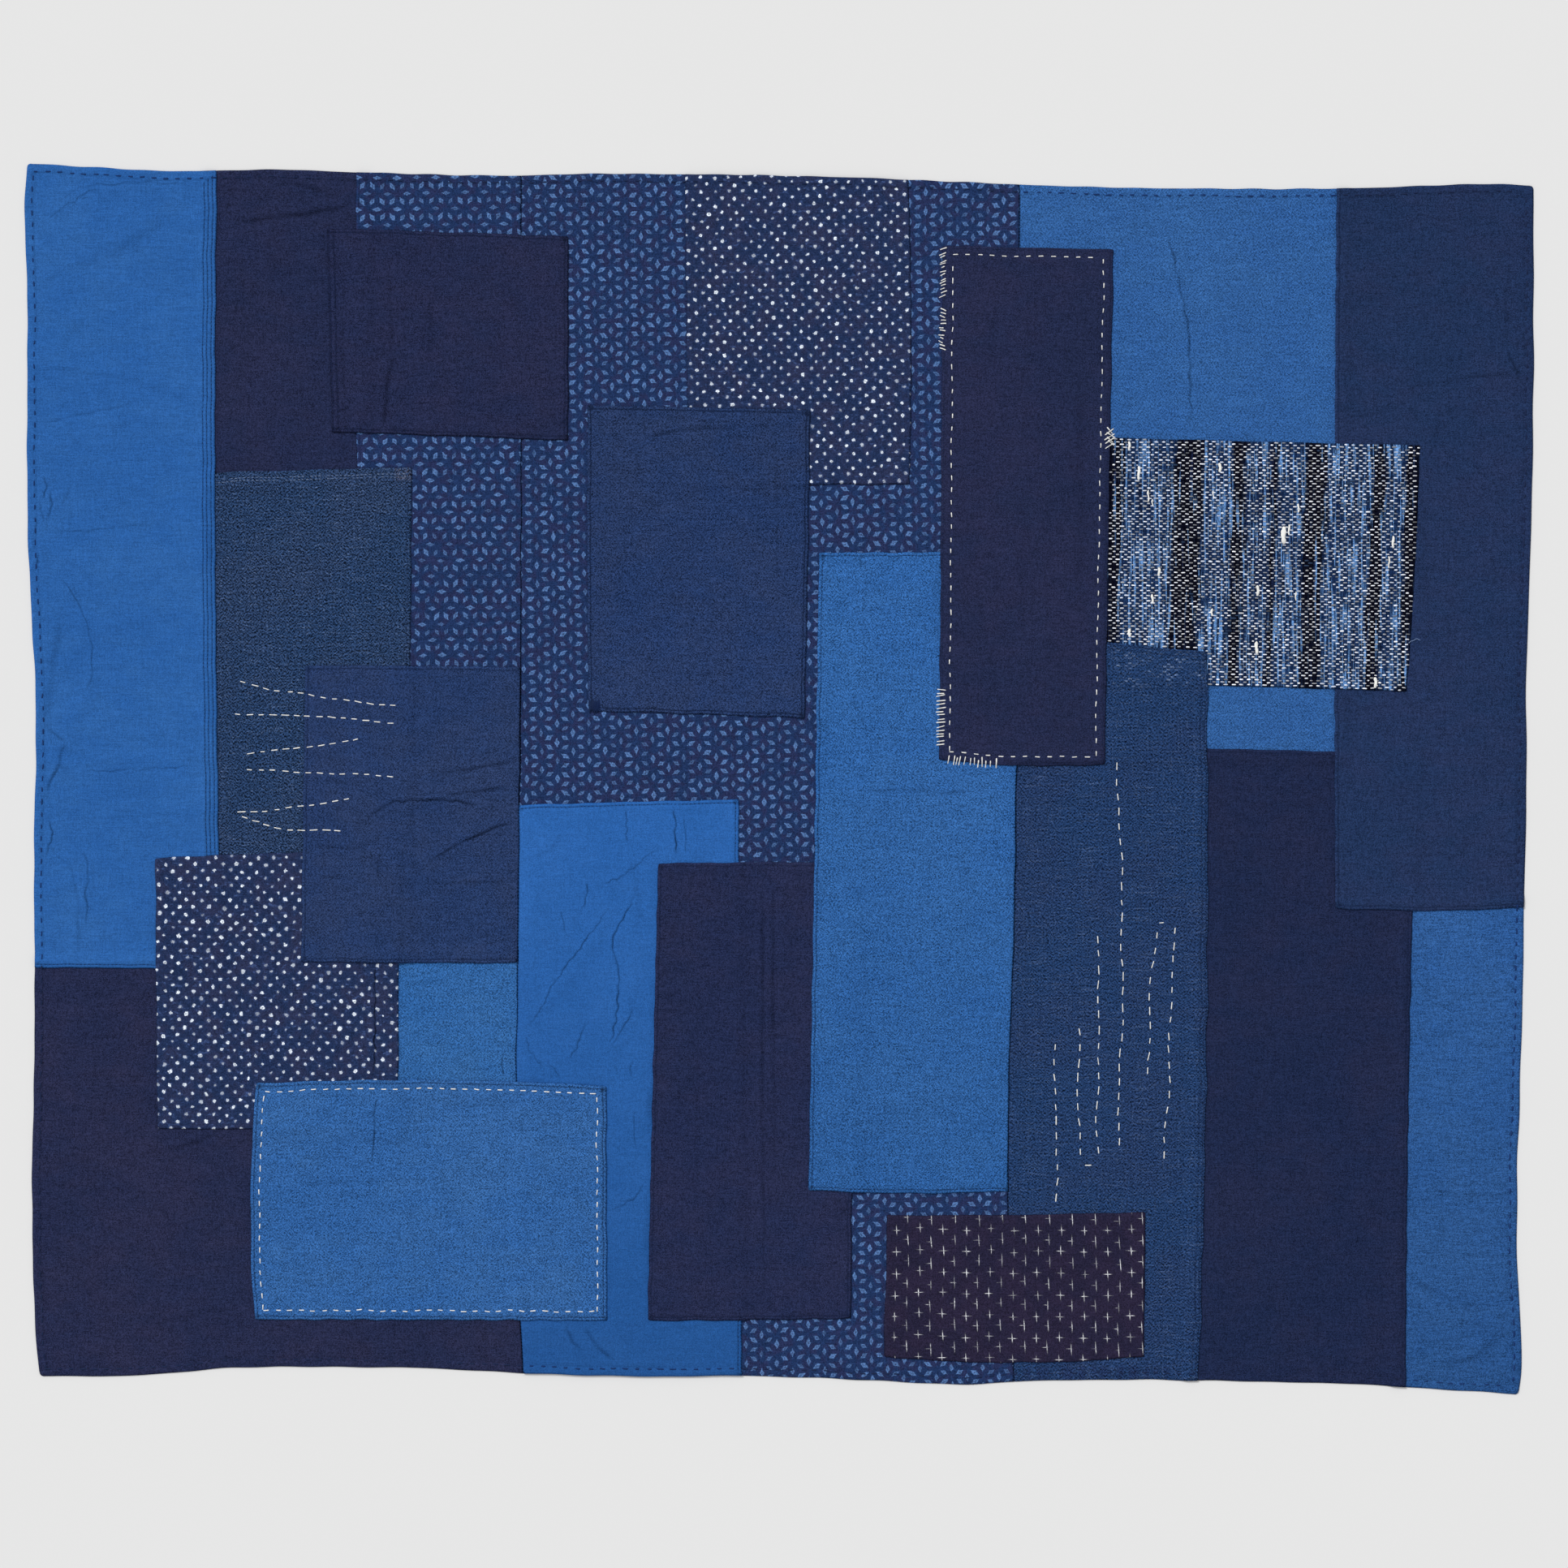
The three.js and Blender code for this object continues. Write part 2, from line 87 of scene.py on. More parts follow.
# ---- the pieces, lowest first ------------------------------------------------------------------
# A side is a line's name or (start, middle, end): left and right from far to near, top and bottom from left to
# right. kinds gives how its left, right, top and bottom sides end: h hem, s plain seam, f turned under and sewn,
# r cut, t tucked under a neighbour. step is the spacing of the mesh inside.
PIECES = [
    ("top_navy", "navy_cotton", 3.6, "ttht", (-422.8,) * 3, (-305,) * 3, "top", (215.7,) * 3),
    ("hempleaf_left", "hempleaf_print", 3.6, "fsht", (-312.6, -311.8, -311), "seam_left", "top", (-134.1,) * 3),
    ("lower_navy", "navy_cotton", 3.6, "hsth", "left", "seam_left", (-134.5,) * 3, "bottom"),
    ("hempleaf_centre", "hempleaf_print", 4.2, "sshh", "seam_left", "seam_right", "top", "bottom"),
    ("top_blue", "chambray", 3.2, "stht", "seam_right", (418.4, 418.4, 415.4), "top", (15.3, 14.7, 14.1)),
    ("right_blue", "chambray", 3.2, "thth", (464, 457.5, 456), "right", (-90.3,) * 3, "bottom"),
    ("dark_right", "navy_cotton", 3.6, "tffh", (311, 308.6, 302.6), (471.8, 465.9, 463.4), (22.5, 20.7, 18.6), "bottom"),
    ("right_navy", "mid_indigo", 3.4, "fhhf", (412.4, 410.8, 411.4), "right", "top", (-95.7, -97.5, -95.1)),
    ("gauze_left", "loose_weave", 3.2, "tfft", (-422.8,) * 3, (-271.6, -272.8, -274), (226.2, 228.3, 230.4), (-134.1,) * 3),
    ("left_blue", "bright_blue", 2.5, "hfhf", "left", (-415.6, -416.6, -412), "top", (-139.5, -140.1, -140.7)),
    ("small_chambray", "chambray", 3.0, "tstt", (-289,) * 3, "seam_left", (-127.5,) * 3, (-231.9,) * 3),
    ("dots_lower", "dot_print", 3.2, "ffff", (-461, -460.4, -459.4), (-281, -281.2, -281.8), (-58.5, -54.9, -51.9), (-258.9,) * 3),
    ("dark_square", "navy_cotton", 3.2, "ffff", (-333.8, -332.2, -330.4), (-155.8,) * 3, (406.8, 404.1, 400.8), (256.2, 253.5, 249.9)),
    ("creased_navy", "mid_indigo", 2.5, "fsff", (-350.2, -351.8, -353), "seam_left", (83.7, 83.4, 82.5), (-135.3, -136.2, -135.9)),
    ("dots_upper", "dot_print", 3.2, "ffhf", (-69.4, -68.2, -66.8), (95.6, 97.8, 96.4), "top", (217.5,) * 3),
    ("mid_navy", "mid_indigo", 2.9, "ffff", (-141.4, -141.8, -140.8), (23, 21.4, 19), (276, 274.5, 272.4), (50.1, 47.7, 44.7)),
    ("wrinkled_blue", "bright_blue", 2.3, "sffh", "seam_left", (-29.8, -28.6, -27.4), (-19.5, -17.1, -15.3), "bottom"),
    ("dark_tall", "navy_cotton", 3.2, "ffff", (-89.2, -93.4, -97), (54.8, 54.2, 53.4), (-62.7, -61.8, -61.8), (-400.5, -400.2, -399.1)),
    ("tall_chambray", "chambray", 2.9, "fsff", (29.6, 26, 21.8), "seam_right", (167.1, 167.4, 167.7), (-304.2, -306.6, -304.5)),
    ("bordered_chambray", "chambray", 2.8, "ffff", (-386.2, -390.6, -387.8), (-127.6, -127.4, -127), (-225.3, -222.6, -227.1), (-399.9, -400.2, -400.5)),
    ("striped_weave", "striped_slub", 3.2, "trrr", (239,) * 3, (473.8, 470.2, 464.2), (252.3, 249.3, 246.6), (71.7, 68.1, 64.5)),
    ("sheer_tall", "loose_weave", 3.2, "sffh", "seam_right", (316, 316.6, 310.3), (107.7, 100.5, 93.6), "bottom"),
    ("bordered_dark", "navy_cotton", 2.8, "ffff", (121, 119.8, 118.4), (247.4, 244, 240.8), (394.2, 392.7, 391.5), (14.1, 9.6, 10.8)),
    ("kasuri", "kasuri_weave", 3.2, "ffff", (80, 78.8, 77.3), (270.8, 270.4, 269.6), (-322.5, -322.5, -320.1), (-427.5, -431.7, -427.2)),
]
NAMES = [row[0] for row in PIECES]

# ---- creases: piece, how dark the painted shade along each is, half width, places along it ------
CREASES = [
    ("wrinkled_blue", 0.19, 0.65, [(-134, -80.5), (-112, -69.5), (-96.5, -56.5), (-87.5, -51.5)]),
    ("wrinkled_blue", 0.31, 0.65, [(-141, -75.5), (-142.5, -88.5), (-146, -96.5)]),
    ("wrinkled_blue", 0.26, 0.65, [(-123.5, -93), (-144, -121), (-163, -146.5), (-171, -160), (-179, -175.5), (-189, -184)]),
    ("wrinkled_blue", 0.30, 0.72, [(-104, -77.5), (-110, -94), (-120, -111.5), (-123, -125), (-118.5, -142), (-120, -174.5), (-123.5, -191.5), (-128, -207.5)]),
    ("wrinkled_blue", 0.21, 0.72, [(-143, -180), (-149, -197), (-156, -209)]),
    ("wrinkled_blue", 0.16, 0.65, [(-161, -96.5), (-158, -115.5)]),
    ("wrinkled_blue", 0.23, 0.72, [(-107, -169), (-115.5, -185), (-125, -198)]),
    ("wrinkled_blue", 0.17, 0.65, [(-187, -190), (-184.5, -199.5), (-177, -211), (-173, -212.5)]),
    ("wrinkled_blue", 0.22, 0.65, [(-171.5, -207), (-162, -221)]),
    ("wrinkled_blue", 0.36, 0.79, [(-77, -19.5), (-76.5, -39.5), (-76, -58)]),
    ("wrinkled_blue", 0.15, 0.65, [(-70.5, -22), (-69, -42.5), (-68.5, -57)]),
    ("wrinkled_blue", 0.19, 0.65, [(-113, -20.5), (-112.5, -36.5), (-112.5, -48.5)]),
    ("wrinkled_blue", 0.19, 0.79, [(-99, -298), (-106, -309), (-117, -316), (-126, -319)]),
    ("wrinkled_blue", 0.16, 0.65, [(-109, -207.5), (-109, -222)]),
    ("wrinkled_blue", 0.18, 0.72, [(-107, -245), (-106.5, -275.5)]),
    ("wrinkled_blue", 0.26, 1.6, [(-158, -404), (-152, -416), (-145.5, -424)]),
    ("wrinkled_blue", 0.22, 1.8, [(-143, -404), (-134, -420), (-122, -430)]),
    ("wrinkled_blue", 0.08, 2.4, [(-183, -60), (-168, -52), (-160, -40)]),
    ("wrinkled_blue", 0.08, 2.6, [(-112, -52), (-104, -84), (-101, -110)]),
    ("creased_navy", 0.37, 1.15, [(-306, -34), (-297, -24), (-285, -17.5), (-265, -16), (-245, -16), (-228, -18.5), (-212, -19)]),
    ("creased_navy", 0.37, 1.25, [(-263, -66), (-250, -56), (-235, -47.5), (-218, -40), (-205, -34.5), (-194, -29.5)]),
    ("creased_navy", 0.25, 1.5, [(-252, -13), (-228, -10), (-206, -7.5), (-193, -9)]),
    ("creased_navy", 0.26, 1.5, [(-256, 3.5), (-228, 7), (-207, 11), (-194, 13.5)]),
    ("creased_navy", 0.18, 1.4, [(-296, -56.5), (-296, -76)]),
    ("creased_navy", 0.20, 1.7, [(-347, -50), (-318, -51), (-297, -49)]),
    ("creased_navy", 0.10, 1.8, [(-346, -74), (-328, -72.5), (-310, -74)]),
    ("creased_navy", 0.18, 1.4, [(-271, -78), (-245, -77), (-222, -76.5), (-197, -76)]),
    ("creased_navy", 0.12, 1.8, [(-341, -1.5), (-318, -3), (-296, -3)]),
    ("creased_navy", 0.10, 2.6, [(-301, 26), (-290, 19), (-281, 13)]),
    ("creased_navy", 0.10, 2, [(-296, -108), (-297, -127)]),
    ("top_blue", 0.30, 1.1, [(285.5, 412), (291, 390), (297, 362), (300, 348), (303, 330), (304, 300), (305, 255)]),
    ("top_blue", 0.10, 2.2, [(263.5, 425), (264.5, 404)]),
    ("top_blue", 0.07, 2, [(271, 424), (271.5, 406)]),
    ("top_blue", 0.08, 4, [(380, 376), (388, 368), (397, 360)]),
    ("top_blue", 0.05, 2.4, [(325, 384), (326, 336)]),
    ("left_blue", 0.30, 0.8, [(-543.9, 224.7), (-542.3, 217.7), (-542.8, 210.7), (-543.4, 206)]),
    ("left_blue", 0.25, 0.9, [(-539.1, 213), (-538.3, 203.7), (-539.2, 196), (-540.6, 191)]),
    ("left_blue", 0.12, 1.2, [(-531, 201), (-528.5, 206), (-524.5, 213.5)]),
    ("left_blue", 0.14, 0.9, [(-546.5, 205), (-545, 196), (-543.5, 188)]),
    ("left_blue", 0.11, 1.0, [(-548.9, 191.7), (-551, 178), (-550.9, 165.7)]),
    ("left_blue", 0.24, 0.8, [(-546.5, 166), (-547.8, 162.5), (-549.5, 157)]),
    ("left_blue", 0.11, 5, [(-528, 378), (-500, 385), (-482, 394), (-466, 405), (-450, 417)]),
    ("left_blue", 0.06, 3, [(-549, 360), (-538, 369), (-526, 378)]),
    ("left_blue", 0.06, 5, [(-531, 317), (-513, 342)]),
    ("left_blue", 0.08, 2.8, [(-547, 304.5), (-520, 301.5), (-492, 296.5), (-466, 291)]),
    ("left_blue", 0.10, 3, [(-470, 292), (-448, 283.5), (-426, 275.5)]),
    ("left_blue", 0.10, 1.3, [(-547, 261), (-522.5, 268), (-490, 274.5), (-468, 281)]),
    ("left_blue", 0.06, 1.8, [(-470, 262), (-448, 261), (-430, 258)]),
    ("left_blue", 0.11, 0.9, [(-540, 180.5), (-530.9, 182.7), (-512.9, 183), (-489.4, 186.2), (-458, 188)]),
    ("left_blue", 0.19, 0.65, [(-537, 153.5), (-524, 140), (-513, 118), (-509, 102), (-508, 80), (-514, 58)]),
    ("left_blue", 0.11, 0.65, [(-522.5, 144), (-518, 136)]),
    ("left_blue", 0.15, 3.8, [(-531, 120), (-534, 98), (-538, 75), (-540, 52), (-541, 40)]),
    ("left_blue", 0.20, 1.2, [(-543.5, 41.5), (-535, 32.5), (-526, 26)]),
    ("left_blue", 0.28, 1.4, [(-525.5, 29), (-531, 17.5), (-533, 8.5), (-537.5, 0.5), (-542, -12.5)]),
    ("left_blue", 0.16, 1.6, [(-535, 12), (-529, 8), (-525, 7)]),
    ("left_blue", 0.14, 0.65, [(-520, 5), (-480.5, 6.5), (-430.5, 9.5)]),
    ("left_blue", 0.27, 0.79, [(-541.5, -28.5), (-537, -40), (-540, -49.5), (-541, -59)]),
    ("left_blue", 0.13, 1.5, [(-537, -55), (-527, -62), (-521, -75), (-518, -95), (-518, -128)]),
    ("left_blue", 0.21, 0.79, [(-516.5, -48.5), (-511, -63.5), (-512, -86.5), (-511.5, -111.5)]),
    ("left_blue", 0.16, 0.65, [(-542, 412.5), (-531.5, 421), (-521, 427.5), (-510.5, 434), (-500, 437)]),
    ("left_blue", 0.07, 1.2, [(-536, 424), (-524, 433), (-512, 439)]),
    ("left_blue", 0.15, 0.72, [(-521, 437.5), (-504, 439), (-490, 439.5), (-472.5, 441), (-451.5, 440.5), (-430, 438.5)]),
    ("left_blue", 0.05, 1.4, [(-498, 437), (-486, 429), (-478, 424)]),
    ("left_blue", 0.06, 2, [(-520, 80), (-480, 82), (-440, 78)]),
    ("left_blue", 0.06, 2.2, [(-500, -30), (-470, -26), (-430, -31)]),
    ("top_navy", 0.30, 2.1, [(-404, 410.5), (-380, 414), (-355, 417), (-335, 420), (-312, 425.5)]),
    ("top_navy", 0.20, 1.6, [(-373, 439), (-360, 440), (-346, 437), (-329, 432)]),
    ("top_navy", 0.09, 1.8, [(-412, 352), (-388, 352)]),
    ("top_navy", 0.10, 2, [(-411, 385), (-394, 379)]),
    ("top_navy", 0.07, 1.8, [(-372, 372), (-350, 374)]),
    ("top_navy", 0.10, 1.6, [(-358, 287), (-346, 286)]),
    ("dark_square", 0.13, 1.2, [(-322, 346), (-322, 300), (-320.5, 273)]),
    ("dark_square", 0.14, 2.4, [(-288, 376), (-286.5, 342), (-286, 312)]),
    ("dark_square", 0.26, 2, [(-284, 318), (-286.5, 306), (-289, 292), (-291, 270), (-292, 257)]),
    ("dark_square", 0.13, 3.6, [(-258, 352), (-257, 332), (-256, 311)]),
    ("dark_square", 0.10, 2, [(-264, 399), (-275, 376)]),
    ("dark_square", 0.08, 1.8, [(-242, 399), (-244, 380)]),
    ("dark_square", 0.06, 1.8, [(-272, 300), (-240, 301), (-206, 300)]),
    ("dark_square", 0.22, 1.3, [(-329, 270.5), (-322, 273), (-315, 274.5)]),
    ("lower_navy", 0.10, 2, [(-506, -152), (-502, -168), (-494, -181)]),
    ("lower_navy", 0.12, 1.6, [(-512, -190.5), (-495, -191.5), (-478, -191)]),
    ("lower_navy", 0.19, 2, [(-414, -262), (-430, -268.5), (-456, -276.5)]),
    ("lower_navy", 0.06, 2.2, [(-530, -246), (-500, -245), (-468, -249)]),
    ("lower_navy", 0.06, 2, [(-515, -305), (-480, -304), (-440, -308)]),
    ("lower_navy", 0.10, 2.2, [(-398, -391), (-430, -396), (-470, -406)]),
    ("lower_navy", 0.08, 2.2, [(-529, -384), (-520, -396), (-520, -416)]),
    ("lower_navy", 0.07, 2.2, [(-500, -352), (-460, -350), (-420, -356)]),
    ("small_chambray", 0.10, 1.6, [(-281, -152), (-255, -151.5), (-226, -153)]),
    ("small_chambray", 0.13, 1.3, [(-243, -204), (-233, -213), (-218, -215), (-206, -210)]),
    ("small_chambray", 0.34, 0.85, [(-204, -220), (-204.5, -203)]),
    ("bordered_chambray", 0.31, 0.79, [(-295.5, -231), (-298.5, -243), (-299, -262), (-301, -286.5)]),
    ("bordered_chambray", 0.09, 2, [(-371, -300), (-330, -299), (-280, -297), (-228, -296)]),
    ("bordered_chambray", 0.06, 2, [(-378, -265), (-358, -261), (-338, -262)]),
    ("bordered_chambray", 0.06, 2, [(-192, -304.5), (-170, -307), (-148, -306)]),
    ("bordered_chambray", 0.06, 2.4, [(-284, -268), (-256, -272.5)]),
    ("right_blue", 0.16, 2.4, [(470, -371), (488, -381.5), (506, -387)]),
    ("right_blue", 0.23, 2.6, [(484, -435), (505, -431.5), (525, -420.5), (538, -409)]),
    ("right_blue", 0.08, 2.2, [(468, -159), (500, -160.5), (541, -158)]),
    ("right_blue", 0.10, 2.2, [(478, -304), (510, -309), (541, -310)]),
    ("right_blue", 0.07, 2.2, [(468, -350), (500, -352), (538, -352)]),
    ("right_navy", 0.25, 1.7, [(538, 316), (544.5, 304), (549, 297)]),
    ("right_navy", 0.17, 1.6, [(459, 287), (480, 291), (505, 296), (530, 298), (549, 297)]),
    ("right_navy", 0.09, 2, [(540, 381), (538, 346), (540, 318)]),
    ("right_navy", 0.10, 3, [(488, 270), (485, 244)]),
    ("right_navy", 0.08, 4, [(477, 206), (476, 130)]),
    ("bordered_dark", 0.10, 4.5, [(222, 302), (224, 200), (222, 118)]),
    ("bordered_dark", 0.06, 3, [(160, 372), (158, 300)]),
    ("mid_navy", 0.26, 1.7, [(-101, 252), (-82, 255.5), (-56, 258.5), (-28, 259)]),
    ("mid_navy", 0.10, 1.8, [(-132, 228), (-98, 227), (-60, 224)]),
    ("mid_navy", 0.08, 1.8, [(-132, 200), (-106, 202.5), (-80, 203)]),
    ("mid_navy", 0.10, 1.5, [(-62, 183), (-28, 184.5), (4, 185)]),
    ("mid_navy", 0.07, 1.6, [(-120, 133), (-72, 135.5), (-20, 135)]),
    ("mid_navy", 0.10, 1.5, [(-1, 262), (-1.5, 190), (-1, 120)]),
    ("tall_chambray", 0.15, 1.6, [(60, -8), (90, -9), (125, -10.5), (152, -9)]),
    ("tall_chambray", 0.06, 2, [(130, -252), (148, -256), (168, -258)]),
    ("dark_tall", 0.17, 1.8, [(-12, -66), (-12, -150), (-12, -250), (-11, -330), (-11, -392)]),
    ("dark_tall", 0.12, 1.5, [(-4, -66), (-4, -150), (-3, -250), (-2, -325)]),
    ("dark_tall", 0.08, 1.8, [(-12, -64), (-12, -130), (-12, -220)]),
    ("dark_tall", 0.05, 1.5, [(-4, -64), (-4, -120), (-4, -200)]),
    ("dots_lower", 0.42, 0.7, [(-298.6, -130), (-298.6, -180), (-299.2, -222)]),
    ("dark_tall", 0.06, 2.5, [(-58, -150), (-60, -260), (-62, -340)]),
    ("sheer_tall", 0.10, 2.4, [(178, -15), (204, -18), (232, -20)]),
    ("dark_right", 0.08, 2, [(345, -18), (372, -20), (402, -19)]),
    ("dark_right", 0.06, 2.2, [(330, -306), (372, -303), (420, -307)]),
]

# ---- soft folds: piece, rise, half width, two ends ---------------------------------------------
SOFT_FOLDS = [
    ("left_blue", 1.1, 9, (-534, 150), (-509, 92)),
    ("left_blue", 1.0, 9, (-508.5, 90), (-519, 36)),
    ("left_blue", 0.7, 12, (-488, 412), (-452, 384)),
    ("left_blue", 0.9, 10, (-517.5, -48), (-515, -128)),
    ("left_blue", 0.5, 14, (-548, 244), (-470, 262)),
    ("left_blue", 0.6, 8, (-541, 10), (-436, 14)),
    ("wrinkled_blue", 0.8, 9, (-126, -100), (-184, -184)),
    ("wrinkled_blue", 0.7, 8, (-106, -88), (-117, -200)),
    ("wrinkled_blue", 0.6, 7, (-138, -84), (-96, -56)),
    ("wrinkled_blue", 0.5, 9, (-150, -190), (-168, -216)),
    ("creased_navy", 0.8, 7, (-300, -22), (-232, -14)),
    ("creased_navy", 0.8, 8, (-262, -58), (-198, -28)),
    ("top_blue", 0.7, 8, (290, 408), (307, 262)),
    ("right_blue", 0.8, 8, (494, -446), (540, -416)),
    ("dark_tall", 0.6, 5, (-8, -80), (-8, -388)),
    ("dark_tall", 0.4, 5, (4, -70), (5, -300)),
    ("lower_navy", 0.4, 14, (-540, -180), (-480, -176)),
    ("right_navy", 0.4, 10, (470, 284), (530, 292)),
]

# ---- unevenness of a piece's face: slope of its waves, and the way across them in degrees --------
RUMPLE = {
    "left_blue": (0.0046, 62), "wrinkled_blue": (0.0042, 40), "creased_navy": (0.0036, 75), "top_navy": (0.0026, 85),
    "lower_navy": (0.0034, 80), "dark_square": (0.0026, 85), "top_blue": (0.0022, 10), "right_blue": (0.0030, 60),
    "right_navy": (0.0026, 80), "tall_chambray": (0.0022, 85), "bordered_chambray": (0.0020, 10), "mid_navy": (0.0024, 85),
    "dark_tall": (0.0030, 5), "dark_right": (0.0022, 10), "bordered_dark": (0.0022, 5), "sheer_tall": (0.0026, 20),
    "gauze_left": (0.0026, None),
}

# ---- rows of white running stitches: first end, last end, bow, pitch, stitch, thread ------------
ROWS = [
    ((-399, 72), (-277, 54), -3.0, 8.7, 5.2, 0.40),
    ((-403, 48), (-283, 41), 1.5, 8.7, 5.2, 0.40),
    ((-393, 19), (-309, 30), -1.5, 8.7, 5.2, 0.40),
    ((-394, 6), (-278, 0), 1.6, 8.7, 5.2, 0.40),
    ((-400, -25), (-311, -13), -2.0, 8.7, 5.2, 0.40),
    ((-398, -29), (-322, -39), -3.2, 8.7, 5.2, 0.40),
    ((250, 12), (250, -279), 4.0, 11.1, 6.2, 0.39),
    ((236, -116), (235, -279), 0.8, 11.1, 6.2, 0.39),
    ((221.5, -184), (222, -284), 0.0, 11.1, 6.2, 0.39),
    ((203.5, -195), (205, -316), 0.8, 11.1, 6.2, 0.39),
    ((279, -113), (273, -222), -1.6, 11.1, 6.2, 0.39),
    ((292, -109), (284.5, -287), 0.8, 11.1, 6.2, 0.39),
    ((280.5, -106.6), (288.5, -106.6), 0.0, 11.1, 5.4, 0.39),
    ((226, -285.5), (234, -285), 0.0, 11.1, 5.0, 0.39),
]

# ---- white borders: piece, distance inside its left, right, top and bottom sides, pitch, stitch --
BORDERS = [
    ("bordered_chambray", (6.6, 6.9, 6.4, 6.9), 8.6, 4.3, 0.40),
    ("bordered_dark", (7.6, 7.0, 6.4, 6.6), 9.1, 4.0, 0.40),
]

# ---- whip stitches over a turned edge: piece, side, from, to, how many, reach out, reach in, lean --
WHIPS = [
    ("bordered_dark", "left", 391, 357, 14, 1.6, 2.6, 1.5),
    ("bordered_dark", "left", 347, 318, 12, 1.6, 2.2, -1.2),
    ("bordered_dark", "left", 66, 25, 16, 2.0, 4.0, 0.6),
    ("bordered_dark", "bottom", 125, 160, 12, 2.4, 4.2, 0.6),
    ("bordered_dark", "right", 257.5, 247.5, 4, 2.6, 3.4, 4.2),
    ("bordered_dark", "right", 256.5, 246.5, 4, 2.4, 3.6, -4.4),
]

# ---- lines of edge stitches: piece, sides, distances inside ------------------------------------
TOPSTITCH = [
    ("dark_square", "l", (1.2, 4.6)),
    ("dark_square", "rtb", (STITCH_IN,)),
    ("mid_navy", "lrtb", (STITCH_IN,)),
    ("creased_navy", "ltb", (STITCH_IN,)),
    ("tall_chambray", "ltb", (STITCH_IN,)),
    ("wrinkled_blue", "rt", (STITCH_IN,)),
    ("bordered_chambray", "lrtb", (STITCH_IN,)),
    ("bordered_dark", "lrtb", (STITCH_IN - 0.7,)),
    ("dark_tall", "lrtb", (STITCH_IN,)),
    ("right_navy", "lb", (STITCH_IN,)),
    ("left_blue", "r", (2.8, 6.0, 9.0)),
    ("left_blue", "b", (STITCH_IN,)),
    ("gauze_left", "r", (STITCH_IN,)),
    ("sheer_tall", "rt", (1.6, 4.6)),
    ("dark_right", "rt", (STITCH_IN,)),
    ("hempleaf_left", "l", (STITCH_IN,)),
]

# worn and shaded edges: how much paler its fold is where worn (a negative number paints a dark shade line along the
# fold instead), and how much painted shade darkens the line of its stitches, in the groove they pull down
EDGE_WEAR_AND_SHADE = {
    "right_navy": (0.75, 0.32), "mid_navy": (-0.10, 0.58), "creased_navy": (0.35, 0.32), "dark_square": (-0.28, 0.42),
    "dark_tall": (0.10, 0.30), "dark_right": (0.05, 0.22), "bordered_dark": (0.10, 0.20), "gauze_left": (0.45, 0.04),
    "sheer_tall": (0.55, 0.25), "left_blue": (0.12, 0.50), "tall_chambray": (0.05, 0.42), "wrinkled_blue": (0.05, 0.42),
    "bordered_chambray": (0.05, 0.45), "hempleaf_left": (0.65, 0.15), "kasuri": (0.10, 0.0), "dots_lower": (0.10, 0.0),
    "dots_upper": (0.10, 0.0),
}


# ================================================================================================
# lines, sides and outlines
# ================================================================================================
def line_at(name, t):
    a = np.array(LINES[name], float)
    x, y = a[:, 0], a[:, 1]
    m = np.empty(len(x))
    m[1:-1] = (y[2:] - y[:-2]) / (x[2:] - x[:-2])
    m[0], m[-1] = (y[1] - y[0]) / (x[1] - x[0]), (y[-1] - y[-2]) / (x[-1] - x[-2])
    t = np.clip(np.asarray(t, float), x[0], x[-1])
    i = np.clip(np.searchsorted(x, t) - 1, 0, len(x) - 2)
    w = x[i + 1] - x[i]
    u = (t - x[i]) / w
    return (y[i] * (1 + 2 * u) * (1 - u) ** 2 + y[i + 1] * u * u * (3 - 2 * u)
            + m[i] * w * u * (1 - u) ** 2 - m[i + 1] * w * u * u * (1 - u))


def wobble_of(size, shortest, longest, *words):
    """A small seeded unevenness along a line."""
    r = rng_of("wobble", *words)
    waves = [(size * s, 2 * math.pi / r.uniform(shortest, longest), r.uniform(0, 6.3)) for s in (0.5, 0.4, 0.3, 0.25)]
    return lambda t: sum(a * np.sin(k * t + p) for a, k, p in waves)


def smooth(a, b, v):
    u = np.clip((v - a) / (b - a), 0, 1)
    return u * u * (3 - 2 * u)


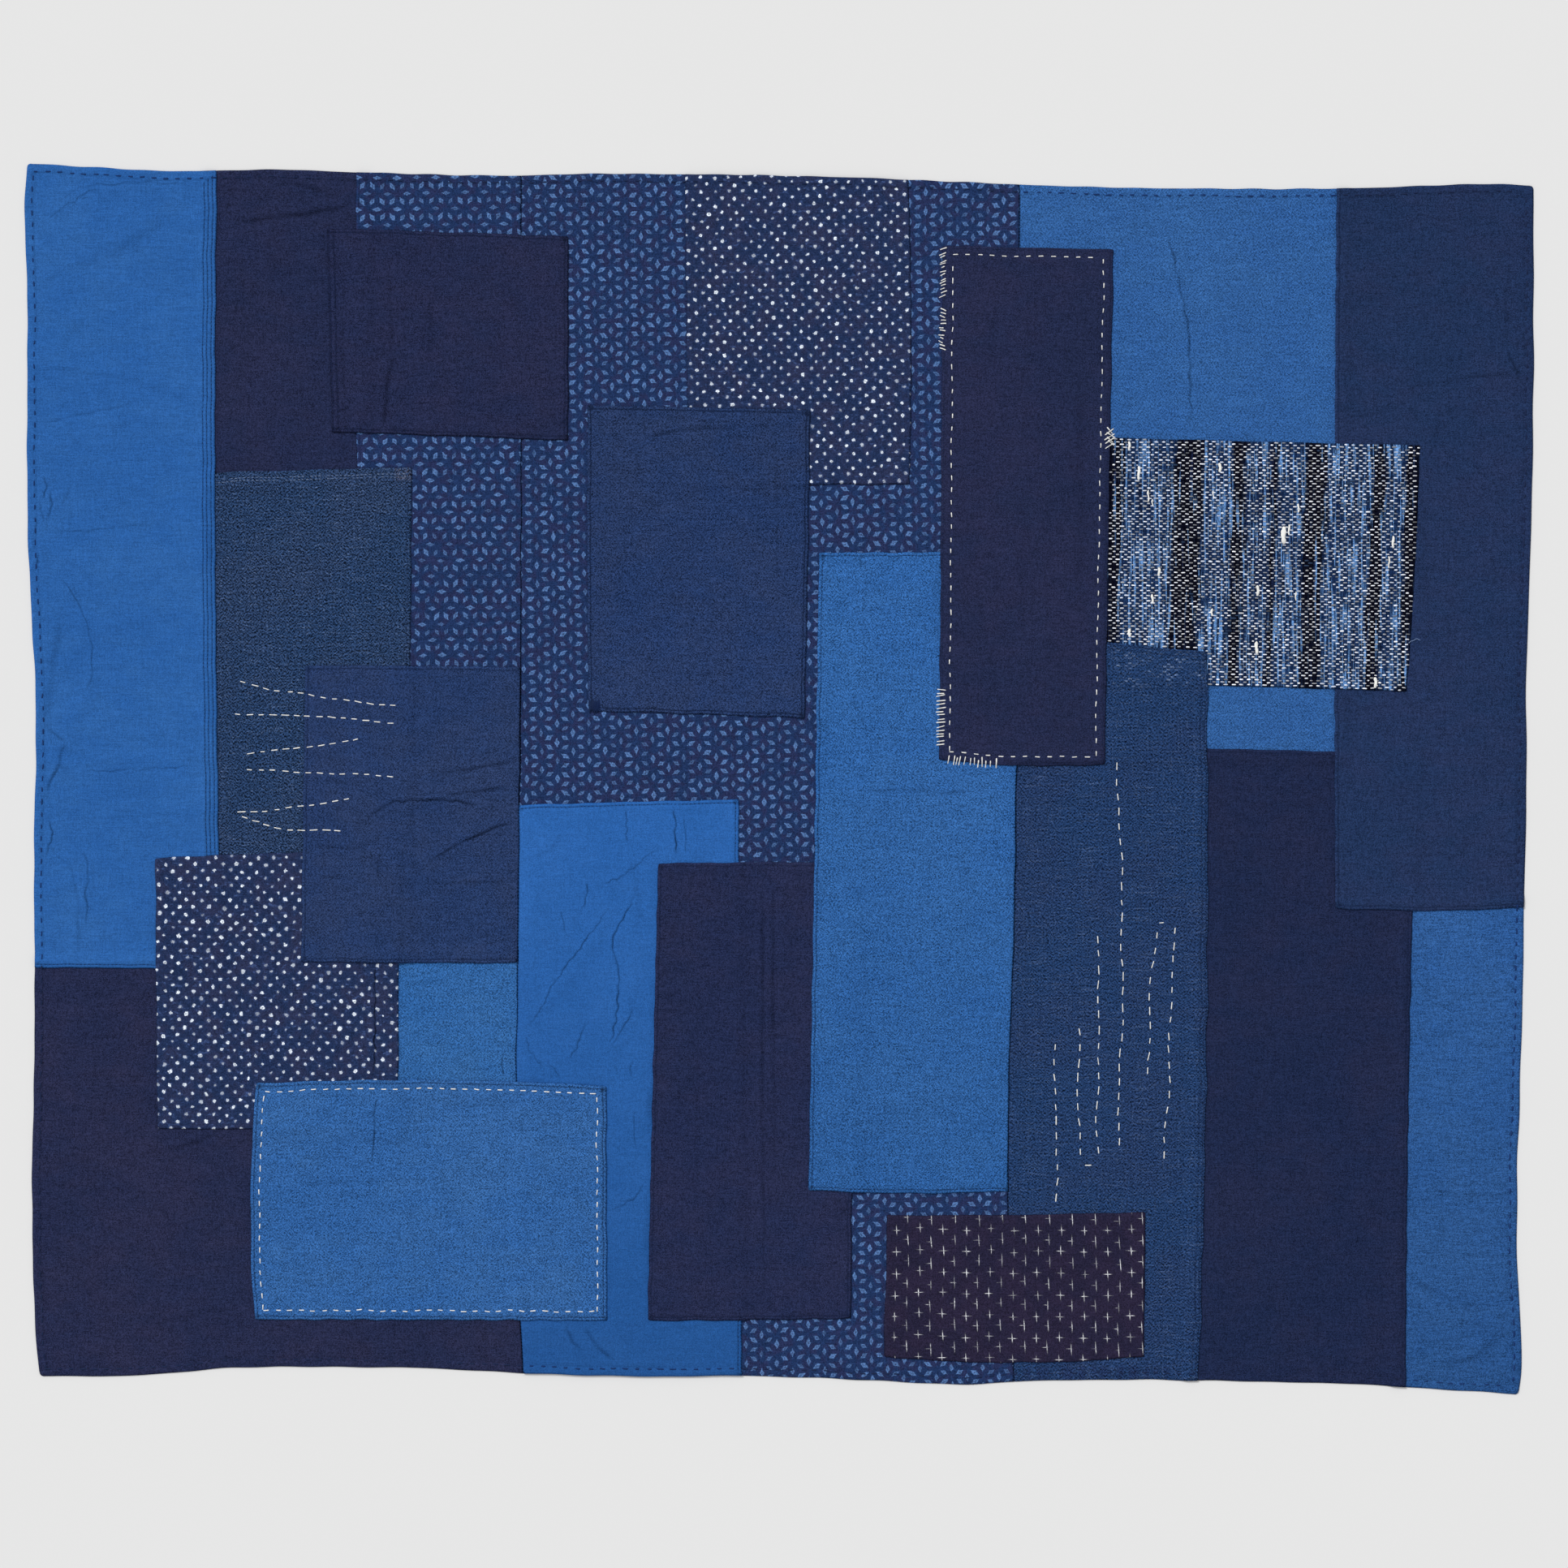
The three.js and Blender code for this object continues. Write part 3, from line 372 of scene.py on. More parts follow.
class Piece:
    """One cut piece: its four sides, and how far a point lies inside each."""

    def __init__(self, row):
        self.name, self.slot, self.step, kinds, left, right, top, bottom = row
        self.kind = dict(zip("lrtb", kinds))
        cuts = {"l": left, "r": right, "t": top, "b": bottom}
        middle = {k: (float(line_at(c, 0.0)) if isinstance(c, str) else c[1]) for k, c in cuts.items()}
        mid_x = (middle["l"] + middle["r"]) / 2
        for k in "tb":
            if isinstance(cuts[k], str):
                middle[k] = float(line_at(cuts[k], mid_x))
        self.middle = middle
        self.at = {}
        for k, cut in cuts.items():
            ends = (middle["t"], middle["b"]) if k in "lr" else (middle["l"], middle["r"])
            self.at[k] = self._side(k, cut, *ends)
        self.corner = {}
        for v in "tb":
            for h in "lr":
                x, y = middle[h], middle[v]
                for _ in range(8):
                    x = float(self.at[h](y))
                    y = float(self.at[v](x))
                self.corner[v + h] = (x, y)
        self.radius = {}
        for c in self.corner:
            pair = {self.kind[c[0]], self.kind[c[1]]}
            self.radius[c] = 0.3 if pair & {"s", "t"} else 2.6 if pair == {"h"} else 1.4 if pair == {"f"} else 0.6
        self.below, self.above = [], []
        self.creases = []
        self.folds = [f for f in SOFT_FOLDS if f[0] == self.name]
        r = rng_of("relief", self.name)
        size, lie = RUMPLE.get(self.name, (0.0016, None))
        self.waves = []
        for _ in range(14):
            length = r.uniform(24, 120)
            turn = r.uniform(0, 6.3) if lie is None else math.radians(lie) + r.normal(0, 0.45)
            self.waves.append((size * length * r.uniform(0.4, 1.0), length, turn, r.uniform(0, 6.3)))
        self.patchy = [(r.uniform(60, 150), r.uniform(0, 6.3), r.uniform(0, 6.3)) for _ in range(3)]

    def _side(self, k, cut, start, end):
        kind = self.kind[k]
        if isinstance(cut, str):
            size = {"s": 0.25, "h": 0.30}[kind]
            uneven = wobble_of(size, 30, 95, cut)
            shift = (GAP / 2 if k in "lb" else -GAP / 2) if kind == "s" else 0.0
            return lambda t: line_at(cut, t) + uneven(np.asarray(t, float)) + shift
        a, b, c = cut
        size = {"f": 0.38, "r": 0.30, "t": 0.0}[kind] * (2.4 if (self.name, k) == ("sheer_tall", "r") else 1.0)
        uneven = wobble_of(size, 18, 80, self.name, k)

        def at(t):
            u = (np.asarray(t, float) - start) / (end - start)
            return a * (1 - u) * (1 - 2 * u) + 4 * b * u * (1 - u) - c * u * (1 - 2 * u) + uneven(np.asarray(t, float))

        return at

    def inside(self, x, y):
        """Distances inside the left, right, top and bottom sides."""
        return x - self.at["l"](y), self.at["r"](y) - x, self.at["t"](x) - y, y - self.at["b"](x)

    def inset(self, x, y, parts=None):
        """Distance inside the outline, with its rounded corners."""
        l, r, t, b = parts if parts is not None else self.inside(x, y)
        across, along = np.minimum(l, r), np.minimum(t, b)
        q = self.radius
        rad = np.where(l < r, np.where(t < b, q["tl"], q["bl"]), np.where(t < b, q["tr"], q["br"]))
        da, db = rad - across, rad - along
        return np.where((da > 0) & (db > 0), rad - np.hypot(np.maximum(da, 0), np.maximum(db, 0)), np.minimum(across, along))

    def outline(self, spacing):
        """The outline, counter-clockwise from the far left corner."""
        points = []
        turn = {"tl": 90, "bl": 180, "br": 270, "tr": 0}

        def arc(c):
            r = self.radius[c]
            x, y = self.corner[c]
            cx, cy = x + (r if c[1] == "l" else -r), y + (-r if c[0] == "t" else r)
            for f in (0.0, 0.25, 0.5, 0.75, 1.0):
                a = math.radians(turn[c] + 90 * f)
                points.append((cx + r * math.cos(a), cy + r * math.sin(a)))

        def run(k, c0, c1):
            i = 1 if k in "lr" else 0
            a, b = self.corner[c0][i], self.corner[c1][i]
            s = 1 if b > a else -1
            a, b = a + s * (self.radius[c0] + 0.6), b - s * (self.radius[c1] + 0.6)
            n = max(2, int(round(abs(b - a) / spacing)))
            for t in np.linspace(a, b, n):
                v = float(self.at[k](t))
                points.append((v, t) if k in "lr" else (t, v))

        arc("tl"); run("l", "tl", "bl"); arc("bl"); run("b", "bl", "br")
        arc("br"); run("r", "br", "tr"); arc("tr"); run("t", "tr", "tl")
        return np.array(points)


CLOTH = [Piece(row) for row in PIECES]
BY_NAME = {p.name: p for p in CLOTH}


# ---- which pieces lie under which --------------------------------------------------------------
for k, piece in enumerate(CLOTH):
    (xl, yt), (xr, yb) = piece.corner["tl"], piece.corner["br"]
    gx, gy = np.meshgrid(np.arange(xl, xr, 4.0), np.arange(yb, yt, 4.0))
    own = piece.inset(gx, gy) > 0.6
    for below in CLOTH[:k]:
        if (own & (below.inset(gx, gy) > 0.6)).any():
            piece.below.append(below)
            below.above.append(piece)


def base_of(piece, x, y):
    """Height of a piece's underside where it drapes over those below."""
    z = np.zeros_like(x)
    ramp = RAMPS.get(piece.name, RAMP)
    for below in piece.below:
        d = below.inset(x, y)
        near = d > -ramp
        if near.any():
            rise = smooth(-ramp, -CLEAR, d[near])
            z[near] = np.maximum(z[near], rise * (base_of(below, x[near], y[near]) + LIFT))
    return z


# ---- creases as smooth lines -------------------------------------------------------------------
def curve_through(points, spacing):
    """A smooth line through the points, at an even spacing."""
    p = np.array(points, float)
    if len(p) == 2:
        fine = p[0] + np.linspace(0, 1, 41)[:, None] * (p[1] - p[0])
    else:
        q = np.vstack([2 * p[0] - p[1], p, 2 * p[-1] - p[-2]])
        fine = []
        for i in range(1, len(q) - 2):
            t = np.linspace(0, 1, 24, endpoint=False)[:, None]
            a, b, c, d = q[i - 1], q[i], q[i + 1], q[i + 2]
            fine.append(0.5 * (2 * b + (c - a) * t + (2 * a - 5 * b + 4 * c - d) * t**2 + (3 * b - a - 3 * c + d) * t**3))
        fine = np.vstack(fine + [p[-1:]])
    length = np.concatenate([[0], np.cumsum(np.hypot(*np.diff(fine, axis=0).T))])
    s = np.linspace(0, length[-1], max(3, int(length[-1] / spacing) + 1))
    return np.stack([np.interp(s, length, fine[:, 0]), np.interp(s, length, fine[:, 1])], 1), s


def normals_of(path):
    t = np.gradient(path, axis=0)
    t /= np.maximum(np.hypot(t[:, 0], t[:, 1])[:, None], 1e-9)
    return np.stack([-t[:, 1], t[:, 0]], 1)


for i, (name, dark, half, places) in enumerate(CREASES):
    path, s = curve_through(places, max(1.0, half * 0.75))
    n = normals_of(path)
    path = path + n * (wobble_of(0.75, 6, 26, "crease", i) if half < 1.2 else wobble_of(0.5, 9, 34, "crease", i))(s)[:, None]
    end = np.minimum(smooth(0, 0.20 * s[-1], s), smooth(0, 0.20 * s[-1], s[-1] - s))
    slow = max(1.0, half / 1.3)
    uneven = 1.0 + 0.35 * np.sin(s / (11.0 * slow) + i) * np.sin(s / (5.3 * slow) + 2 * i)
    BY_NAME[name].creases.append((path, normals_of(path), dark * np.clip(end * uneven, 0, 1.4), half))


def bared(piece, x, y):
    """1 where a piece shows, 0 where a later piece holds it down flat."""
    deep = np.full_like(x, -99.0)
    for over in piece.above:
        deep = np.maximum(deep, over.inset(x, y))
    return smooth(0.2, -4.0, deep)


def waves_at(piece, x, y, d):
    """How far a piece's soft waves and folds lift it off what it lies on."""
    relief = np.zeros_like(x)
    for size, length, turn, phase in piece.waves:
        relief += size * np.sin(2 * math.pi / length * (x * math.cos(turn) + y * math.sin(turn)) + phase)
    amount = np.ones_like(x)
    for length, turn, phase in piece.patchy:
        amount += 0.35 * np.sin(2 * math.pi / length * (x * math.cos(turn) + y * math.sin(turn)) + phase)
    relief *= np.clip(amount, 0.2, 1.8)
    for _, up, half, a, b in piece.folds:
        a, b = np.array(a, float), np.array(b, float)
        run = b - a
        u = ((x - a[0]) * run[0] + (y - a[1]) * run[1]) / (run @ run)
        off = ((x - a[0]) * -run[1] + (y - a[1]) * run[0]) / np.hypot(*run)
        off = off + half * 0.35 * np.sin(5 * u + half)
        relief += up * np.exp(-((off / (half * 0.62)) ** 2)) * smooth(-0.08, 0.25, u) * smooth(-0.08, 0.25, 1 - u)
    relief = (relief + 0.35) * smooth(0.0, 9.0, d)
    return 0.4 * np.logaddexp(0.0, relief / 0.4) - 0.4 * math.log(2.0)


def crease_at(piece, x, y):
    """(rise of the top, painted shade) that a piece's creases give at points."""
    rise, shade = np.zeros_like(x), np.zeros_like(x)
    for path, normal, strength, half in piece.creases:
        lo, hi = path.min(0) - 6 * half, path.max(0) + 6 * half
        near = np.nonzero((x > lo[0]) & (x < hi[0]) & (y > lo[1]) & (y < hi[1]))[0]
        if not len(near):
            continue
        px, py = x[near], y[near]
        best = np.full(len(near), 1e9)
        pick = np.zeros(len(near), int)
        for a in range(0, len(near), 4000):
            d2 = (px[a:a + 4000, None] - path[:, 0]) ** 2 + (py[a:a + 4000, None] - path[:, 1]) ** 2
            pick[a:a + 4000] = d2.argmin(1)
            best[a:a + 4000] = np.sqrt(d2.min(1))
        side = (px - path[pick, 0]) * normal[pick, 0] + (py - path[pick, 1]) * normal[pick, 1]
        t = np.sign(side) * best / half
        s = strength[pick]
        deep = 0.9 * min(half, 2.0)
        rise[near] += s * deep * (0.9 * np.exp(-((t / 3.2) ** 2)) - 1.6 * np.exp(-(t**2)))
        # painted shade: a dark line along the crease, and a faint painted highlight in a band to each side
        shade[near] += s * 0.88 * (1 + 0.72 / half) * (-np.exp(-((t / 0.76) ** 2)) + 0.08 * np.exp(-((np.abs(t) - 2.2) ** 2)))
    return rise, shade


def top_of(piece, x, y, detail=False):
    """Height of a piece's upper face, and with detail the worn paleness and painted shade of its edges, creases and
    stitch lines.
    """
    parts = piece.inside(x, y)
    d = piece.inset(x, y, parts)
    own = dict(zip("lrtb", parts))
    base = base_of(piece, x, y)
    rise, shade = crease_at(piece, x, y)
    order = np.stack(parts).argmin(0)
    kinds = np.array([piece.kind[k] for k in "lrtb"])[order]
    roll = np.select([kinds == "f", kinds == "h", kinds == "s", kinds == "r"], [0.85, 1.1, 0.8, 0.5], 0.4)
    rim = np.select([kinds == "s"], [0.12], 0.40)
    u = np.clip(d / roll, 0, 1)
    full = rim + (1 - rim) * np.sqrt(np.maximum(0, 1 - (1 - u) ** 2))
    rise = rise + waves_at(piece, x, y, d)
    pale, dark = EDGE_WEAR_AND_SHADE.get(piece.name, (0.08, 0.2))
    stitched = {}
    for name, sides, ins in TOPSTITCH:
        if name == piece.name:
            for k in sides:
                stitched[k] = stitched.get(k, ()) + ins
    border = {}
    for name, ins, *_ in BORDERS:
        if name == piece.name:
            border = dict(zip("lrtb", ins))
    for k, s in own.items():
        kind, along = piece.kind[k], (y if k in "lr" else x)
        gather = wobble_of(1.0, 7, 21, "gather", piece.name, k)(along)
        if kind == "f":
            rise = rise + 0.26 * smooth(TURN + 2.2, TURN - 0.6, s) + 0.10 * gather * np.exp(-np.maximum(s, 0) / 7.0)
            # worn paleness along the fold; a negative pale paints a dark shade line there instead
            patchy = 0.55 + 0.45 * np.sin(along / 2.1 + 3 * np.sin(along / 17.0)) * np.sin(along / 6.3 + 1.0)
            shade = shade + pale * patchy * np.exp(-((s / 0.55) ** 2))
        elif kind == "h":
            rise = rise + 0.34 * smooth(TURN + 1.2, TURN - 0.5, s) - 0.20 * np.exp(-(((s - TURN - 0.7) / 0.7) ** 2))
            rise = rise + 0.09 * gather * np.exp(-np.maximum(s - 3, 0) / 7.0)
            pitch = 2 * math.pi * along / 8.72
            rise = rise - 0.22 * (0.5 + 0.5 * np.cos(pitch)) * np.exp(-(((s - HEM_STITCH_IN) / 1.0) ** 2))
            # painted shade in the step where the hem's turned edge ends
            shade = shade - 0.12 * np.exp(-(((s - TURN - 0.7) / 0.5) ** 2))
        elif kind == "s":
            rise = rise - 0.30 * np.exp(-((s / 1.1) ** 2)) + 0.12 * np.exp(-(((s - 3.5) / 2.2) ** 2)) + 0.05 * gather * np.exp(-np.maximum(s, 0) / 6)
            # painted shade in the seam's valley
            shade = shade - 0.35 * np.exp(-((s / 0.5) ** 2))
        # painted shade in the groove of each line of edge stitches
        for line in stitched.get(k, ()):
            rise = rise - 0.30 * np.exp(-(((s - line) / 0.55) ** 2))
            shade = shade - dark * np.exp(-(((s - line) / 0.48) ** 2))
        if k in border:
            rise = rise - 0.25 * np.exp(-(((s - border[k]) / 1.0) ** 2))
    rise = rise * bared(piece, x, y)
    rise = np.where(rise < 0, 0.5 * np.tanh(rise / 0.5), rise)
    z = base + SHEET * full + rise * smooth(0.0, 1.6, d)
    return (z, np.clip(shade, -0.85, 1.6)) if detail else z


def stack_at(x, y):
    """Height of the uppermost face at points, and the index of the piece it belongs to."""
    z, who = np.zeros_like(x), np.full(len(x), -1)
    for k, piece in enumerate(CLOTH):
        on = np.nonzero(piece.inset(x, y) > 0.05)[0]
        if len(on):
            z[on], who[on] = top_of(piece, x[on], y[on]), k
    return z, who


def covered(k, x, y, margin=0.4):
    """Whether points of piece k lie under a later piece."""
    hid = np.zeros(len(x), bool)
    for piece in CLOTH[k + 1:]:
        hid |= piece.inset(x, y) > -margin
    return hid


# ================================================================================================
# meshes
# ================================================================================================
def mesh_object(name, places, triangles, values=None):
    """A smooth mesh object from arrays in mm; values are named numbers for each vertex."""
    me = bpy.data.meshes.new(name)
    v = (np.asarray(places, float) * MM).astype(np.float32)
    f = np.asarray(triangles, np.int32)
    me.vertices.add(len(v))
    me.vertices.foreach_set("co", v.ravel())
    me.loops.add(f.size)
    me.loops.foreach_set("vertex_index", f.ravel())
    me.polygons.add(len(f))
    me.polygons.foreach_set("loop_start", np.arange(0, f.size, 3, dtype=np.int32))
    me.update(calc_edges=True)
    me.validate()
    me.polygons.foreach_set("use_smooth", np.ones(len(me.polygons), bool))
    for key, a in (values or {}).items():
        me.attributes.new(key, "FLOAT", "POINT").data.foreach_set("value", np.asarray(a, np.float32))
    obj = bpy.data.objects.new(name, me)
    bpy.context.scene.collection.objects.link(obj)
    return obj


ROW_INS = {
    "f": (0.25, 0.6, 1.0, 1.5, 2.0, 2.5, 3.0, 3.6, 4.6, 6.0, 7.6),
    "h": (0.3, 0.8, 1.5, 2.8, 4.2, 5.2, 6.0, 6.7, 7.4, 8.6),
    "s": (0.25, 0.6, 1.1, 1.8, 3.0),
    "r": (0.25, 0.6, 1.2, 2.4),
    "t": (2.0,),
}
EXTRA_INS = {
    ("left_blue", "r"): (5.2, 5.6, 6.0, 6.4, 6.9, 8.4, 8.7, 9.0, 9.3, 9.8, 10.8),
    ("gauze_left", "t"): (4.2, 4.8, 5.4, 6.4, 7.0, 7.6, 8.6),
    ("sheer_tall", "r"): (1.3, 1.6, 4.2, 5.0),
    ("sheer_tall", "t"): (1.3, 1.6, 4.2, 5.0),
    ("bordered_chambray", "lrtb"): (5.8, 6.6, 7.4, 8.2),
    ("bordered_dark", "lrtb"): (5.8, 6.6, 7.4, 8.4),
}


def fill(outline, inner):
    """Delaunay triangles of the points inside an outline: places, triangles, and where the outline's points went."""
    points = np.vstack([outline, inner])
    n = len(outline)
    v, _, f, origin, _, _ = delaunay_2d_cdt([Vector(p) for p in points.tolist()], [], [list(range(n))], 1, 1e-6)
    where = np.full(n, -1)
    for i, came in enumerate(origin):
        for j in came:
            if j < n:
                where[j] = i
    return np.array([tuple(p) for p in v]), np.array([t for t in f if len(t) == 3], int), where


def thin_out(points, cell):
    keys = np.floor(points / cell).astype(np.int64)
    _, first = np.unique(keys[:, 0] * 1000003 + keys[:, 1], return_index=True)
    return points[np.sort(first)]


def lattice(piece, step, *words):
    r = rng_of("lattice", piece.name, *words)
    xs = [c[0] for c in piece.corner.values()]
    ys = [c[1] for c in piece.corner.values()]
    rows = np.arange(min(ys) - 8, max(ys) + 8, step * 0.866)
    cols = np.arange(min(xs) - 8, max(xs) + 8, step)
    gx, gy = np.meshgrid(cols, rows)
    gx = gx + (np.arange(len(rows)) % 2)[:, None] * step / 2
    p = np.stack([gx.ravel(), gy.ravel()], 1)
    return p + r.uniform(-0.12, 0.12, p.shape) * step


def sheet_of(piece):
    """The closed thin sheet of one piece."""
    edge = piece.outline(2.4)
    groups, reach = [], {}
    for k in "lrtb":
        ins = list(ROW_INS[piece.kind[k]])
        for (name, sides), more in EXTRA_INS.items():
            if name == piece.name and k in sides:
                ins = sorted(set(ins) | set(more))
        keep = [ins[0]]
        for v in ins[1:]:
            if v - keep[-1] > 0.2:
                keep.append(v)
        reach[k] = keep[-1]
        i = 1 if k in "lr" else 0
        ends = sorted(c[i] for n, c in piece.corner.items() if k in n)
        for v in keep:
            t = np.linspace(ends[0], ends[-1], max(3, int((ends[-1] - ends[0]) / 2.4)))
            a = piece.at[k](t) + (v if k in "lb" else -v)
            row = np.stack([a, t] if k in "lr" else [t, a], 1)
            groups.append(row[np.abs(piece.inset(row[:, 0], row[:, 1]) - v) < 0.09])
    lines = [np.zeros((0, 2))]
    for path, normal, _, half in piece.creases:
        for off in (0, 0.4, -0.4, 0.8, -0.8, 1.3, -1.3, 2.0, -2.0, 3.0, -3.0, 4.4, -4.4):
            lines.append((path + normal * off * half)[::1 if abs(off) < 1 else 2 if abs(off) < 2.5 else 3])
    lines = np.vstack(lines)
    if len(lines):
        lines = lines[piece.inset(lines[:, 0], lines[:, 1]) > 1.0]
    inner = lattice(piece, piece.step)
    parts = piece.inside(inner[:, 0], inner[:, 1])
    ok = np.ones(len(inner), bool)
    for k, s in zip("lrtb", parts):
        ok &= s > reach[k] + 0.55 * piece.step
    inner = inner[ok]
    for path, _, _, half in piece.creases:
        lo, hi = path.min(0) - 6 * half, path.max(0) + 6 * half
        near = np.nonzero((inner > lo).all(1) & (inner < hi).all(1))[0]
        if len(near):
            d = np.hypot(inner[near, 0, None] - path[:, 0], inner[near, 1, None] - path[:, 1]).min(1)
            inner = np.delete(inner, near[d < 4.4 * half + 0.4 * piece.step], 0)
    inner = thin_out(np.vstack(groups + [lines, inner]), 0.3)
    inner = inner[piece.inset(inner[:, 0], inner[:, 1]) > 0.16]
    top, faces, where = fill(edge, inner)

    z, shade = top_of(piece, top[:, 0], top[:, 1], True)
    count = len(top)
    coarse = lattice(piece, 12.0 if not piece.below else 7.0, "under")
    coarse = coarse[piece.inset(coarse[:, 0], coarse[:, 1]) > 3.0]
    rim_row = []
    for k in "lrtb":
        i = 1 if k in "lr" else 0
        ends = sorted(c[i] for n, c in piece.corner.items() if k in n)
        t = np.linspace(ends[0] + 1.5, ends[-1] - 1.5, max(3, int((ends[-1] - ends[0]) / 5.0)))
        a = piece.at[k](t) + (0.9 if k in "lb" else -0.9)
        row = np.stack([a, t] if k in "lr" else [t, a], 1)
        rim_row.append(row[np.abs(piece.inset(row[:, 0], row[:, 1]) - 0.9) < 0.3])
    under, under_faces, under_where = fill(edge, thin_out(np.vstack(rim_row + [coarse]), 0.4))
    lift = waves_at(piece, under[:, 0], under[:, 1], piece.inset(under[:, 0], under[:, 1]))
    zu = base_of(piece, under[:, 0], under[:, 1]) + 0.9 * np.maximum(lift - 0.1, 0) * bared(piece, under[:, 0], under[:, 1])
    # the two faces share the outline
    back = np.full(len(under), -1)
    back[under_where] = where
    new = np.nonzero(back < 0)[0]
    back[new] = count + np.arange(len(new))
    places = np.vstack([np.column_stack([top, z]), np.column_stack([under[new], zu[new]])])
    triangles = np.vstack([faces, back[under_faces][:, ::-1]])
    shade = np.concatenate([shade, np.zeros(len(new))])
    # per-vertex marks for the colour: paler where folds are worn, painted shade along creases, seams, hem steps and
    # stitch grooves
    return mesh_object(piece.name + "_cloth", places, triangles, {"wear": shade})


def strands(name, paths, radii, around, ply=0.0, twist=0.0, flat=1.0, values=None):
    """Many short strands as one mesh: paths is (how many, along, 3) in mm, radii (how many, along)."""
    m, n, _ = paths.shape
    t = np.gradient(paths, axis=1)
    t /= np.maximum(np.linalg.norm(t, axis=2, keepdims=True), 1e-9)
    side = np.cross(t, np.array([0.0, 0.0, 1.0]))
    side /= np.maximum(np.linalg.norm(side, axis=2, keepdims=True), 1e-9)
    up = np.cross(side, t)
    a = np.arange(around) * 2 * math.pi / around
    r = radii[:, :, None] * np.ones(around)
    if ply:
        r = r * (1 + ply * np.cos(2 * a[None, None, :] + twist * np.arange(n)[None, :, None]))
    ring = (paths[:, :, None, :] + r[..., None] * np.cos(a)[None, None, :, None] * side[:, :, None, :]
            + flat * r[..., None] * np.sin(a)[None, None, :, None] * up[:, :, None, :])
    tips = np.stack([paths[:, 0] - t[:, 0] * radii[:, :1] * 0.5, paths[:, -1] + t[:, -1] * radii[:, -1:] * 0.5], 1)
    each = n * around + 2
    places = np.concatenate([ring.reshape(m, n * around, 3), tips], 1).reshape(-1, 3)
    one = []
    for i in range(n - 1):
        for j in range(around):
            p, q = i * around + j, i * around + (j + 1) % around
            one += [(p, p + around, q), (q, p + around, q + around)]
    for j in range(around):
        k = (j + 1) % around
        one += [(n * around, j, k), (n * around + 1, (n - 1) * around + k, (n - 1) * around + j)]
    one = np.array(one)[:, ::-1]
    triangles = (one[None] + (np.arange(m) * each)[:, None, None]).reshape(-1, 3)
    stored = {key: np.repeat(a, each) for key, a in (values or {}).items()}
    return mesh_object(name, places, triangles, stored)


# ================================================================================================
# materials
# ================================================================================================
def linear(rgb, gain=1.0):
    c = np.array(rgb, float) / 255
    c = np.where(c <= 0.04045, c / 12.92, ((c + 0.055) / 1.055) ** 2.4) * gain
    return (float(c[0]), float(c[1]), float(c[2]), 1.0)


